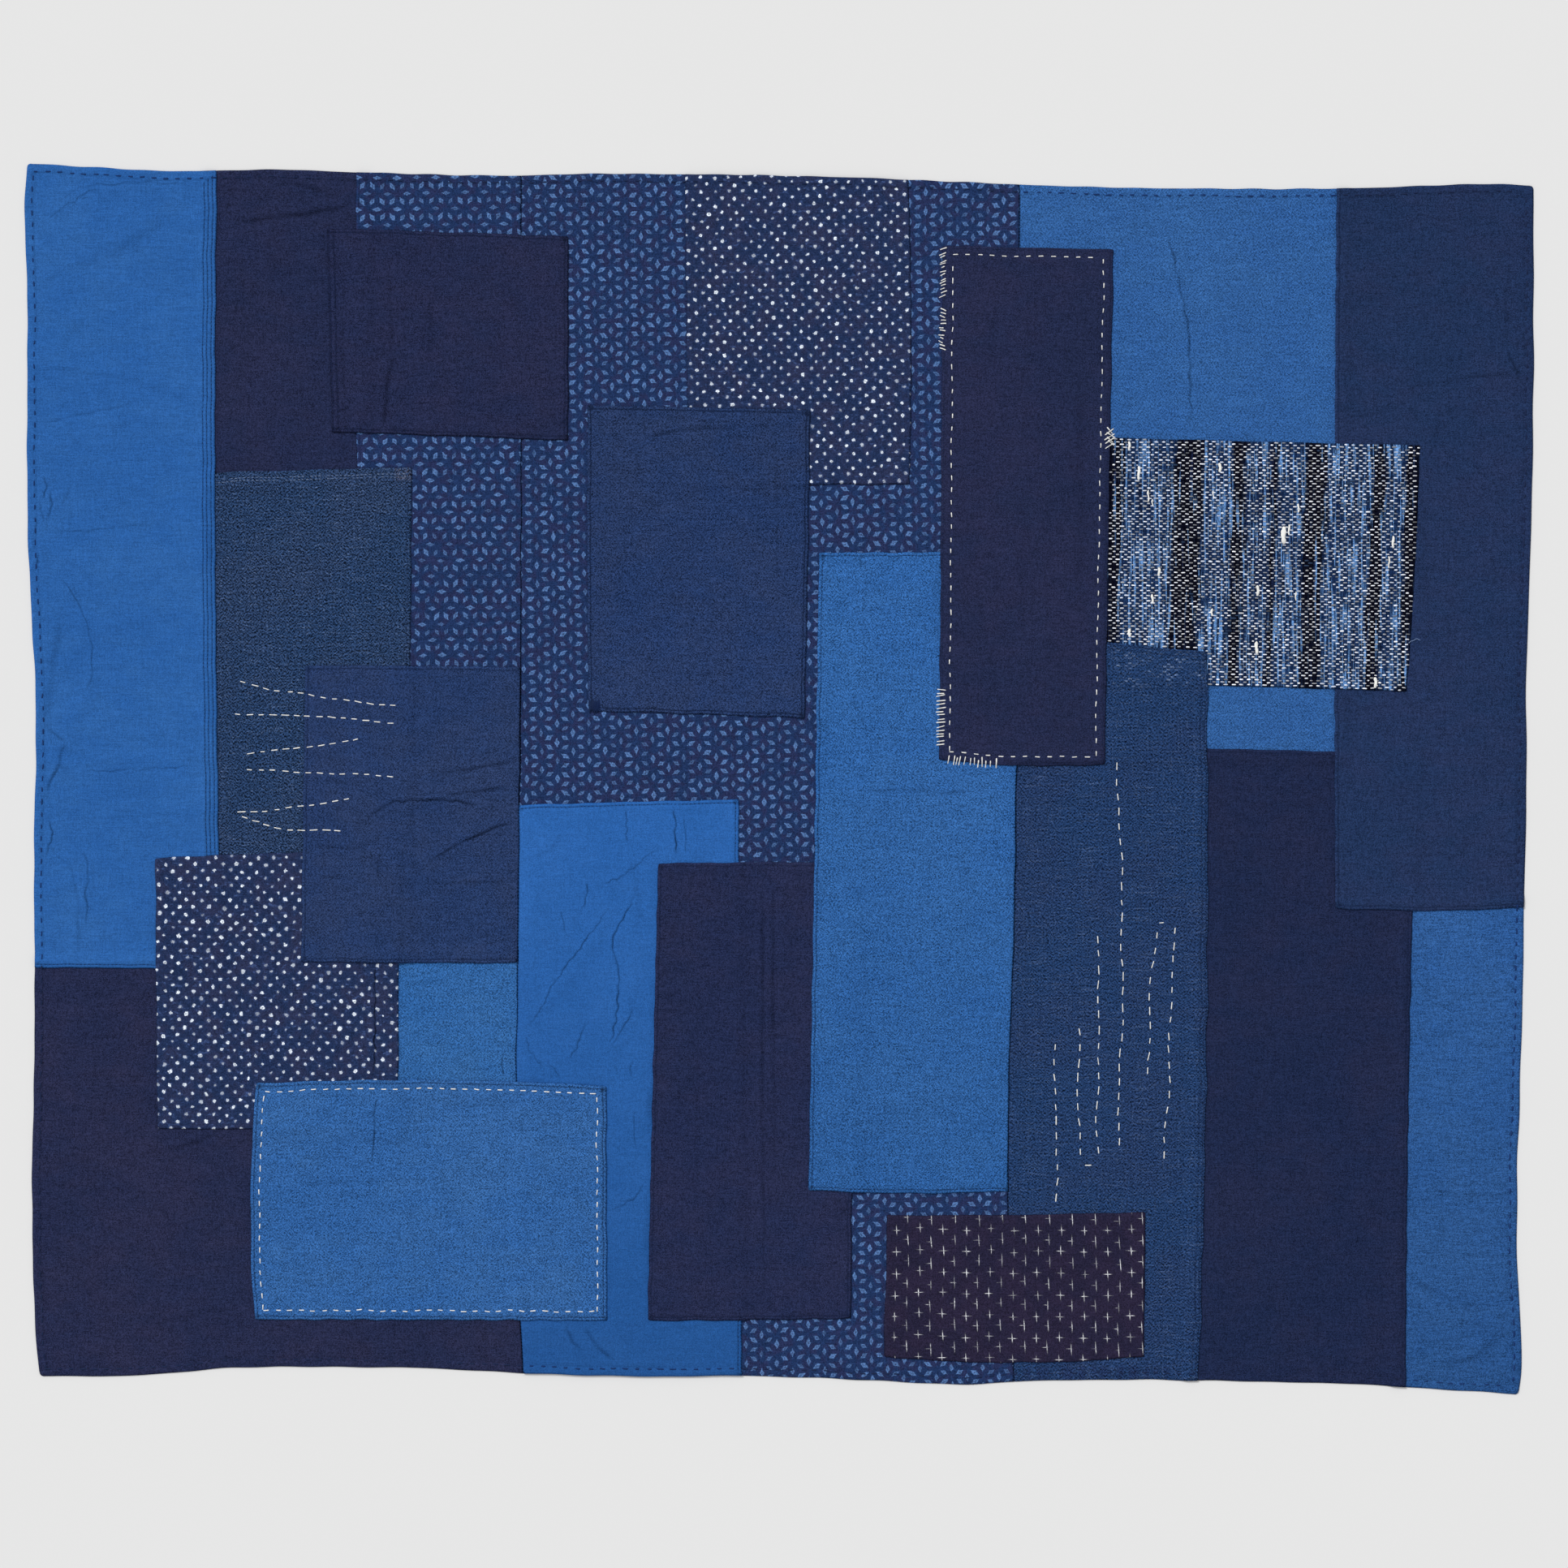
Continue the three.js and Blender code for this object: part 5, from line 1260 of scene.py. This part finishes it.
def thread(name, rgb, other, seed, depth=0.08, pitch=0.5, tone=None):
    """Spun cotton thread: fine fibres across it, and a little unevenness in its colour."""
    f = Finish(name)
    fibre = f.noise(f.mm(), 1 / pitch, 2.0, 0.6)
    drift = f.noise(f.mm(), 1 / 9.0, 2.0, 0.5)
    colour = f.mix(f.ease(drift, 0.35, 0.65), linear(rgb), linear(other))
    if tone is not None:
        colour = f.scaled(f.mix(f.value("tone"), colour, linear(tone)), f.value("bright"))
    colour = f.scaled(colour, f.math("MULTIPLY_ADD", f.sub(fibre, 0.5), 0.35, 1.0))
    return f.end(colour, fibre, depth, f.ease(fibre, 0.3, 0.7, 0.9, 0.78, "LINEAR"), 0.06)


FINISHES = {
    "top_navy": lambda n: plain_cloth(n, (35, 44, 76), (38, 43, 72), 0.92, 0.10, 1.0, 0.5),
    "lower_navy": lambda n: plain_cloth(n, (37, 44, 75), (41, 44, 72), 0.90, 0.12, 2.0, -0.4),
    "dark_right": lambda n: plain_cloth(n, (31, 42, 74), (34, 41, 70), 0.82, 0.12, 3.0, 0.3, fade=0.07),
    "dark_square": lambda n: plain_cloth(n, (36, 44, 76), (39, 43, 72), 0.95, 0.14, 4.0, 0.8),
    "dark_tall": lambda n: plain_cloth(n, (35, 44, 77), (39, 44, 74), 0.90, 0.10, 5.0, 0.2),
    "bordered_dark": lambda n: plain_cloth(n, (36, 44, 75), (39, 43, 72), 0.85, 0.10, 6.0, -0.6, fade=0.08),
    "right_navy": lambda n: plain_cloth(n, (34, 52, 88), (37, 50, 84), 0.85, 0.14, 7.0, 0.4, ends=(440, 0.96, -97, 1.05)),
    "creased_navy": lambda n: plain_cloth(n, (38, 58, 100), (42, 58, 95), 1.06, 0.13, 8.0, -0.5, fade=0.04, crisp=0.07),
    "mid_navy": lambda n: plain_cloth(n, (37, 57, 99), (41, 57, 94), 1.24, 0.24, 9.0, 1.0, fade=0.04, crisp=0.06, across=0.5, ends=(276, 0.96, 45, 1.05)),
    "left_blue": lambda n: plain_cloth(n, (43, 95, 164), (46, 96, 161), 0.40, 0.13, 10.0, 0.2, depth=0.08, streak=0.40),
    "wrinkled_blue": lambda n: plain_cloth(n, (41, 93, 162), (43, 93, 160), 0.40, 0.11, 11.0, 0.3, depth=0.08, ends=(-20, 1.13, -440, 0.80)),
    "top_blue": lambda n: plain_cloth(n, (48, 92, 153), (50, 93, 150), 0.94, 0.20, 12.0, 0.5, crisp=0.10, across=0.5),
    "right_blue": lambda n: plain_cloth(n, (44, 86, 145), (46, 86, 141), 0.86, 0.16, 13.0, 0.3, streak=0.36, across=0.3, ends=(-90, 1.08, -450, 0.84)),
    "small_chambray": lambda n: plain_cloth(n, (47, 97, 159), (51, 98, 155), 1.00, 0.15, 14.0, -0.4, crisp=0.09),
    "tall_chambray": lambda n: plain_cloth(n, (46, 94, 157), (48, 94, 153), 1.12, 0.18, 15.0, 0.4, crisp=0.09, ends=(167, 1.06, -305, 0.93)),
    "bordered_chambray": lambda n: plain_cloth(n, (48, 95, 157), (52, 96, 153), 1.08, 0.14, 16.0, -0.3, fade=0.05, crisp=0.09),
    "hempleaf_left": lambda n: hempleaf(n, 0.8, 14.4, (1.0, 1.057), 21.0, (-250.0, 150.0)),
    "hempleaf_centre": lambda n: hempleaf(n, 91.3, 13.8, (1.0, 1.021), 22.0, (-180.0, 220.0)),
    "dots_lower": lambda n: dotted(n, -0.6, 31.0, (-460.0, -258.0), 0.78),
    "dots_upper": lambda n: dotted(n, 1.2, 32.0, (-69.0, 217.0), 0.72),
    "gauze_left": lambda n: loose_cloth(n, (38, 60, 95), (41, 59, 91), 41.0, 0.5, 1.95, 0.30, corner=(-276.0, 225.5, 8.0, 5.0)),
    "sheer_tall": lambda n: loose_cloth(n, (35, 60, 101), (36, 56, 94), 42.0, -0.4, 1.42, 0.14, through=(246.0, 315.0, 67.0, 98.0)),
    "striped_weave": lambda n: striped_cloth(n, 51.0),
    "kasuri": lambda n: kasuri_cloth(n, -0.5, 61.0, (86.6, -332.8)),
}

WHITE = thread("white_cotton_thread", (242, 242, 238), (230, 230, 226), 71.0)
BLUE_THREAD = thread("dark_blue_thread", (27, 52, 104), (32, 56, 104), 72.0)
NAVY_THREAD = thread("navy_thread", (30, 42, 76), (34, 46, 78), 75.0)
DARK_THREAD = thread("indigo_sewing_thread", (25, 41, 82), (31, 45, 80), 73.0)
FLOATS = thread("slub_weave_floats", (246, 247, 249), (232, 235, 240), 74.0, tone=(104, 136, 186))
PALE_THREAD = thread("faded_sewing_thread", (118, 138, 172), (98, 118, 156), 77.0)
STRAY = thread("stray_thread", (150, 172, 206), (132, 156, 196), 76.0)


# ================================================================================================
# the cloth
# ================================================================================================
def keep(obj, slot, material):
    obj.data.materials.append(material)
    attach(obj, "root")
    return obj


ALLOWANCE = {"h": 7.0, "f": 6.0, "s": 8.0, "r": 0.0, "t": 0.0}  # turned under or into a seam, beyond what shows
for piece in CLOTH:
    obj = keep(sheet_of(piece), piece.slot, FINISHES[piece.name](piece.name + "_finish"))
    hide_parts(piece.name)
    wide = abs(piece.middle["r"] - piece.middle["l"]) + ALLOWANCE[piece.kind["l"]] + ALLOWANCE[piece.kind["r"]]
    deep = abs(piece.middle["t"] - piece.middle["b"]) + ALLOWANCE[piece.kind["t"]] + ALLOWANCE[piece.kind["b"]]


# ---- strands on the cloth ----------------------------------------------------------------------
def arched(centres, directions, lengths, radius, along, height, ends):
    """Paths of stitches that lie on the cloth and dive into it at both ends."""
    u = np.linspace(-0.5, 0.5, along)
    xy = centres[:, None, :] + (u[None, :, None] * lengths[:, None, None]) * directions[:, None, :]
    z, _ = stack_at(xy[..., 0].ravel(), xy[..., 1].ravel())
    z = z.reshape(len(centres), along)
    z = np.maximum(z, z.mean(1, keepdims=True) - 0.5)
    arch = height - (height + ends) * np.abs(2 * u) ** 3.2
    path = np.concatenate([xy, (z + radius[:, None] * arch[None, :])[..., None]], 2)
    thick = radius[:, None] * (1 - 0.42 * np.abs(2 * u) ** 4)[None, :]
    return path, thick


def along_line(path, s, pitch, start, r, spread=0.09):
    """Places and directions of stitches at a pitch along a line."""
    n = max(1, int((s[-1] - 2 * start) / pitch) + 1)
    at = start + np.arange(n) * pitch + r.normal(0, spread * pitch * 0.5, n)
    at = at[(at > 0) & (at < s[-1])]
    x, y = np.interp(at, s, path[:, 0]), np.interp(at, s, path[:, 1])
    ahead = np.clip(at + 1.0, 0, s[-1])
    back = np.clip(at - 1.0, 0, s[-1])
    d = np.stack([np.interp(ahead, s, path[:, 0]) - np.interp(back, s, path[:, 0]), np.interp(ahead, s, path[:, 1]) - np.interp(back, s, path[:, 1])], 1)
    d /= np.hypot(d[:, 0], d[:, 1])[:, None]
    turn = r.normal(0, 0.06, len(at))
    c, q = np.cos(turn), np.sin(turn)
    d = np.stack([d[:, 0] * c - d[:, 1] * q, d[:, 0] * q + d[:, 1] * c], 1)
    return np.stack([x, y], 1), d


centres, directions, lengths, radii = [], [], [], []


def lay(c, d, length, radius, r, spread=0.10):
    centres.append(c)
    directions.append(d)
    lengths.append(length * (1 + r.normal(0, spread, len(c))))
    radii.append(radius * (1 + r.normal(0, 0.06, len(c))))


def gathered():
    out = [np.concatenate(a) for a in (centres, directions, lengths, radii)]
    for a in (centres, directions, lengths, radii):
        a.clear()
    return out


# white running stitches: free rows and borders
for i, (a, b, bow, pitch, length, radius) in enumerate(ROWS):
    r = rng_of("row", i)
    a, b = np.array(a, float), np.array(b, float)
    u = np.linspace(0, 1, 120)
    n = np.array([-(b - a)[1], (b - a)[0]]) / np.hypot(*(b - a))
    s = u * np.hypot(*(b - a))
    path = a + u[:, None] * (b - a) + n * (bow * np.sin(math.pi * u) + wobble_of(1.0, 30, 110, "row", i)(s))[:, None]
    c, d = along_line(path, s, pitch, length * 0.5, r)
    lay(c, d, length, radius, r, 0.15)
for name, ins, pitch, length, radius in BORDERS:
    piece, r = BY_NAME[name], rng_of("border", name)
    gap = dict(zip("lrtb", ins))
    for k in "lrtb":
        i = 1 if k in "lr" else 0
        ends = sorted(c[i] for n, c in piece.corner.items() if k in n)
        other = ("b", "t") if k in "lr" else ("l", "r")
        t = np.linspace(ends[0] + gap[other[0]], ends[-1] - gap[other[1]], 200)
        v = piece.at[k](t) + (gap[k] if k in "lb" else -gap[k]) + wobble_of(0.35, 30, 90, "border", name, k)(t)
        path = np.stack([v, t] if k in "lr" else [t, v], 1)
        c, d = along_line(path, np.concatenate([[0], np.cumsum(np.hypot(*np.diff(path, axis=0).T))]), pitch, length * 0.45, r, 0.06)
        lay(c, d, length, radius, r, 0.08)
c, d, length, radius = gathered()
paths, thick = arched(c, d, length, radius, 9, 0.62, 1.0)
keep(strands("white_running_stitches", paths, thick, 8, 0.13, 0.95, 0.8), "white_thread", WHITE)

# white whip stitches over turned edges, with a crossed pair at the first corner
paths, thick = [], []
for i, (name, side, start, stop, count, out, into, lean) in enumerate(WHIPS):
    piece, r, k = BY_NAME[name], rng_of("whip", i), side[0]
    t = np.linspace(start, stop, count) + r.normal(0, 0.45, count)
    edge = piece.at[k](t)
    inward = 1 if k in "lb" else -1
    u = np.linspace(0, 1, 9)
    a = edge - inward * (out + r.normal(0, 0.5, count))
    b = edge + inward * (into + r.normal(0, 0.7, count))
    across = a[:, None] + (b - a)[:, None] * u
    slant = t[:, None] + (lean + r.normal(0, 0.55, count))[:, None] * (u - 0.5)
    x, y = (across, slant) if k in "lr" else (slant, across)
    z, _ = stack_at(x.ravel(), y.ravel())
    z = z.reshape(x.shape)
    z = np.maximum(z, 0.25 * np.roll(z, 1, 1) + 0.5 * z + 0.25 * np.roll(z, -1, 1))
    size = 0.40 * (1 + r.normal(0, 0.08, count))
    arch = 0.7 - 1.7 * np.abs(2 * u - 1) ** 6
    paths.append(np.stack([x, y, z + size[:, None] * arch], 2))
    thick.append(size[:, None] * (1 - 0.35 * np.abs(2 * u - 1) ** 5))
keep(strands("white_whip_stitches", np.concatenate(paths), np.concatenate(thick), 8, 0.12, 0.9, 0.85), "white_thread", WHITE)

# dark running stitches along the hem
for k, line in (("l", "left"), ("r", "right"), ("t", "top"), ("b", "bottom")):
    r = rng_of("hem", line)
    ends = (LINES[line][0][0] + 8, LINES[line][-1][0] - 8)
    t = np.arange(ends[0], ends[1], 8.72)
    t = np.round(t / 8.72) * 8.72 + r.normal(0, 0.45, len(t))
    inward = 1 if k in "lb" else -1
    wob = wobble_of(0.30, 30, 95, line)
    v = line_at(line, t) + wob(t) + inward * (HEM_STITCH_IN + wobble_of(0.35, 40, 120, "hem", line)(t))
    slope = (line_at(line, t + 2) - line_at(line, t - 2)) / 4 + r.normal(0, 0.05, len(t))
    c = np.stack([v, t] if k in "lr" else [t, v], 1)
    d = np.stack([slope, np.ones_like(t)] if k in "lr" else [np.ones_like(t), slope], 1)
    lay(c, d / np.hypot(d[:, 0], d[:, 1])[:, None], 4.3 + 0.2 * (k == "r"), 0.48 + 0.14 * (k == "r"), r, 0.14)
c, d, length, radius = gathered()
paths, thick = arched(c, d, length, radius, 8, 0.50, 1.0)
_, who = stack_at(c[:, 0], c[:, 1])
on_blue = np.array([CLOTH[w].slot in ("bright_blue", "chambray") for w in who])
keep(strands("blue_hem_stitches", paths[on_blue], thick[on_blue], 8, 0.12, 0.95, 0.75), "navy_thread", BLUE_THREAD)
keep(strands("navy_hem_stitches", paths[~on_blue], thick[~on_blue], 8, 0.12, 0.95, 0.75), "navy_thread", NAVY_THREAD)

# fine stitches that hold the turned edges down
for name, sides, ins in TOPSTITCH:
    piece = BY_NAME[name]
    for k in sides:
        i = 1 if k in "lr" else 0
        ends = sorted(c[i] for n, c in piece.corner.items() if k in n)
        for line in ins:
            r = rng_of("edge", name, k, line)
            t = np.arange(ends[0] + line, ends[-1] - line, 2.9)
            t = t + r.normal(0, 0.12, len(t))
            v = piece.at[k](t) + (line if k in "lb" else -line) + wobble_of(0.16, 25, 80, "edge", name, k, line)(t)
            c = np.stack([v, t] if k in "lr" else [t, v], 1)
            slope = (piece.at[k](t + 1.5) - piece.at[k](t - 1.5)) / 3
            d = np.stack([slope, np.ones_like(t)] if k in "lr" else [np.ones_like(t), slope], 1)
            ok = ~covered(NAMES.index(name), c[:, 0], c[:, 1])
            lay(c[ok], (d / np.hypot(d[:, 0], d[:, 1])[:, None])[ok], 2.15, 0.24, r, 0.05)
c, d, length, radius = gathered()
paths, thick = arched(c, d, length, radius, 3, 0.55, 0.9)
keep(strands("edge_stitches", paths, thick, 4), "navy_thread", DARK_THREAD)

# paler stitches along the top of the loose cloth
piece = BY_NAME["gauze_left"]
for line in (4.8, 7.0):
    r = rng_of("pale", line)
    t = np.arange(piece.corner["tl"][0] + 6, piece.corner["tr"][0] - 3, 3.1)
    t = (t + r.normal(0, 0.15, len(t)))[r.random(len(t)) < 0.8]
    c = np.stack([t, piece.at["t"](t) - line + wobble_of(0.25, 25, 80, "pale", line)(t)], 1)
    ok = ~covered(NAMES.index("gauze_left"), c[:, 0], c[:, 1])
    d = np.stack([np.ones_like(t), (piece.at["t"](t + 1.5) - piece.at["t"](t - 1.5)) / 3], 1)
    lay(c[ok], (d / np.hypot(d[:, 0], d[:, 1])[:, None])[ok], 2.2, 0.32, r, 0.1)
c, d, length, radius = gathered()
paths, thick = arched(c, d, length, radius, 4, 0.6, 0.8)
keep(strands("pale_edge_stitches", paths, thick, 5), "navy_thread", PALE_THREAD)

# dark darning over one corner
r = rng_of("darning")
n = 15
c = np.stack([np.linspace(-140.0, -132.5, n), 54.0 + r.normal(0, 0.7, n)], 1)
lay(c, np.stack([r.normal(0.05, 0.05, n), np.ones(n)], 1), 9.5, 0.30, r, 0.12)
c, d, length, radius = gathered()
paths, thick = arched(c, d, length, radius, 9, 0.5, 0.8)
keep(strands("darned_corner", paths, thick, 6), "navy_thread", DARK_THREAD)

# the floats of the slub weave
piece, r = BY_NAME["striped_weave"], rng_of("floats")
rows, cols = np.meshgrid(np.arange(-60, 60), np.arange(-30, 32))
x = 356 + (cols + 0.5 * (rows % 2)) * 5.7
y = 158 + rows * 1.89 - (x - 356) * 0.024
x, y = x.ravel() + r.normal(0, 0.22, x.size), y.ravel() + r.normal(0, 0.10, y.size)
y = y + wobble_of(0.5, 30, 90, "float rows")(x)
ok = (piece.inset(x, y) > 0.7) & ~covered(NAMES.index("striped_weave"), x, y, 0.8)
x, y = x[ok], y[ok]
lean = x - 0.04 * (y - 160) + wobble_of(2.2, 30, 100, "stripe")(y)
starts = np.array([a for a, _ in STRIPES])
kind = np.array([t for _, t in STRIPES])[np.clip(np.searchsorted(starts, lean) - 1, 0, len(STRIPES) - 1)]
blue = np.where(kind == "k", 0.07, np.where(kind == "b", 0.25, 0.20))
bare = np.zeros(len(x), bool)
for a, b, wide, deep, turn in BARE:
    u = (x - a) * math.cos(turn) + (y - b) * math.sin(turn)
    v = (y - b) * math.cos(turn) - (x - a) * math.sin(turn)
    bare |= (u / wide) ** 2 + (v / deep) ** 2 < 0.8
row = np.round((y + 0.024 * (x - 356) - 158) / 1.89).astype(int)
row_bright = rng_of("float rows").uniform(0.70, 1.25, 200)[np.clip(row + 100, 0, 199)]
ok = r.random(len(x)) > 0.03 + 0.03 * (blue > 0.1)
x, y, blue, row_bright, bare = x[ok], y[ok], blue[ok], row_bright[ok], bare[ok]
n = len(x)
length = np.where(blue > 0.1, 3.0, 2.9) * (1 + r.normal(0, 0.18, n))
radius = np.where(blue > 0.1, 0.49, 0.46) * (1 + r.normal(0, 0.14, n))
bright = np.clip(row_bright * np.where(blue > 0.1, 0.34, 0.20) + 1.22 * r.random(n) ** 1.0, 0.14, 1.44)
dim = bare & (r.random(n) < 0.85)
bright[dim] = 0.17 + 0.14 * r.random(dim.sum())
length[dim] *= 1.3
radius[dim] *= 1.35
turn = r.normal(-0.024, 0.05, n)
u = np.array([-0.5, -0.36, 0.0, 0.36, 0.5])
px = x[:, None] + u * (length * np.cos(turn))[:, None]
py = y[:, None] + u * (length * np.sin(turn))[:, None]
z = top_of(piece, px.ravel(), py.ravel()).reshape(px.shape)
arch = np.array([-0.8, 0.25, 0.55, 0.25, -0.8])
paths = np.stack([px, py, z + radius[:, None] * arch], 2)
thick = radius[:, None] * np.array([0.5, 0.92, 1.0, 0.92, 0.5])
tone = np.where(dim, 1.0, np.clip(blue * (0.2 + 1.5 * r.random(n)) + np.abs(r.normal(0, 0.04, n)), 0, 0.95))
keep(strands("slub_floats", paths, thick, 4, 0, 0, 0.6, {"tone": tone, "bright": bright}), "striped_slub", FLOATS)

# thick slubs of white warp in the same weave, and one loose thread at its side
SLUBS = [(266, 226, 9, 1.2), (259, 246, 6, 1.1), (326, 230, 6, 1.3), (273, 209, 8, 0.7), (276, 204, 5, 0.5), (373, 180, 11, 2.2), (377, 184, 7, 0.8),
         (281, 153, 6, 1.2), (354, 139, 7, 1.3), (276, 133, 6, 1.0), (353, 97, 8, 1.4), (259, 108, 6, 1.2), (454, 175, 8, 1.1),
         (451, 160, 8, 0.7), (441, 71, 7, 1.4), (384, 200, 6, 0.8), (321, 210, 6, 0.5), (320, 123, 5, 0.9), (382, 135, 6, 0.6)]
u = np.linspace(-0.5, 0.5, 13)
many = np.arange(len(SLUBS))[:, None]
xs = np.array([q[0] for q in SLUBS])[:, None] + 0.3 * np.sin(7 * u[None, :] + many)
ys = np.array([q[1] for q in SLUBS])[:, None] + u[None, :] * 1.15 * np.array([q[2] for q in SLUBS])[:, None]
zs = top_of(piece, xs.ravel(), ys.ravel()).reshape(xs.shape)
size = 0.8 * np.array([q[3] for q in SLUBS])[:, None] * (1 - 0.55 * np.abs(2 * u) ** 6)[None, :] * (1 + 0.22 * np.sin(19 * u + many) * np.sin(31 * u + 2 * many))
paths = np.stack([xs, ys, zs + 0.30 - 0.5 * np.abs(2 * u[None, :]) ** 6], 2)
keep(strands("white_slubs", paths, size, 10, 0.10, 0.7, 0.34), "striped_slub", WHITE)

s = np.linspace(0, 1, 22)
edge_x = float(piece.at["r"](102.0))
lx, ly = edge_x - 1.0 + 8.5 * s, 100.2 + 3.0 * np.sin(2.1 * s) + 0.3 * np.sin(11 * s)
lz, _ = stack_at(lx, ly)
lz = np.maximum(lz, np.convolve(np.pad(lz, 2, "edge"), np.ones(5) / 5, "valid")) + 0.16
keep(strands("loose_thread", np.stack([lx, ly, lz], 1)[None], np.full((1, 22), 0.17), 6), "striped_slub", STRAY)

# ================================================================================================
# floor, light and camera
# ================================================================================================
floor_mesh = bpy.data.meshes.new("floor")
floor_mesh.from_pydata([(-6, -6, -0.0003), (6, -6, -0.0003), (6, 6, -0.0003), (-6, 6, -0.0003)], [], [(0, 1, 2, 3)])
floor = bpy.data.objects.new("floor", floor_mesh)
bpy.context.scene.collection.objects.link(floor)
f = Finish("pale_floor")
speck = f.noise(f.mm(), 1 / 180.0, 2.0)
floor_mesh.materials.append(f.end(f.mix(speck, linear((230, 230, 230)), linear((231, 231, 231))), None, 0, 0.95, 0.0))

world = bpy.data.worlds.new("studio")
bpy.context.scene.world = world
world.use_nodes = True
background = world.node_tree.nodes["Background"]
background.inputs["Color"].default_value = (1, 1, 1, 1)
background.inputs["Strength"].default_value = 0.53

sun = bpy.data.lights.new("soft_key", "SUN")
TILT = math.radians(43)
sun.energy = 0.47 * math.pi / math.cos(TILT)
sun.angle = math.radians(22)
key = bpy.data.objects.new("soft_key", sun)
key.rotation_euler = (Vector((-math.sin(TILT) * 0.62, math.sin(TILT) * 0.785, math.cos(TILT)))).to_track_quat("Z", "Y").to_euler()
bpy.context.scene.collection.objects.link(key)

DISTANCE, ACROSS = 3.2, 1.1592
lens = bpy.data.cameras.new("camera")
lens.type = "PERSP"
lens.sensor_fit = "HORIZONTAL"
lens.sensor_width = 36.0
lens.lens = 36.0 * (DISTANCE - 0.002) / ACROSS
lens.clip_start, lens.clip_end = 0.05, 60.0
camera = bpy.data.objects.new("camera", lens)
camera.location = (0.00375, -0.0039, DISTANCE)
camera.rotation_euler = (0.0, 0.0, 0.0)
bpy.context.scene.collection.objects.link(camera)
bpy.context.scene.camera = camera

bpy.context.scene.view_settings.view_transform = "Standard"
bpy.context.scene.view_settings.look = "None"
bpy.context.scene.view_settings.exposure = 0.0
bpy.context.scene.view_settings.gamma = 1.0

bpy.context.view_layer.update()
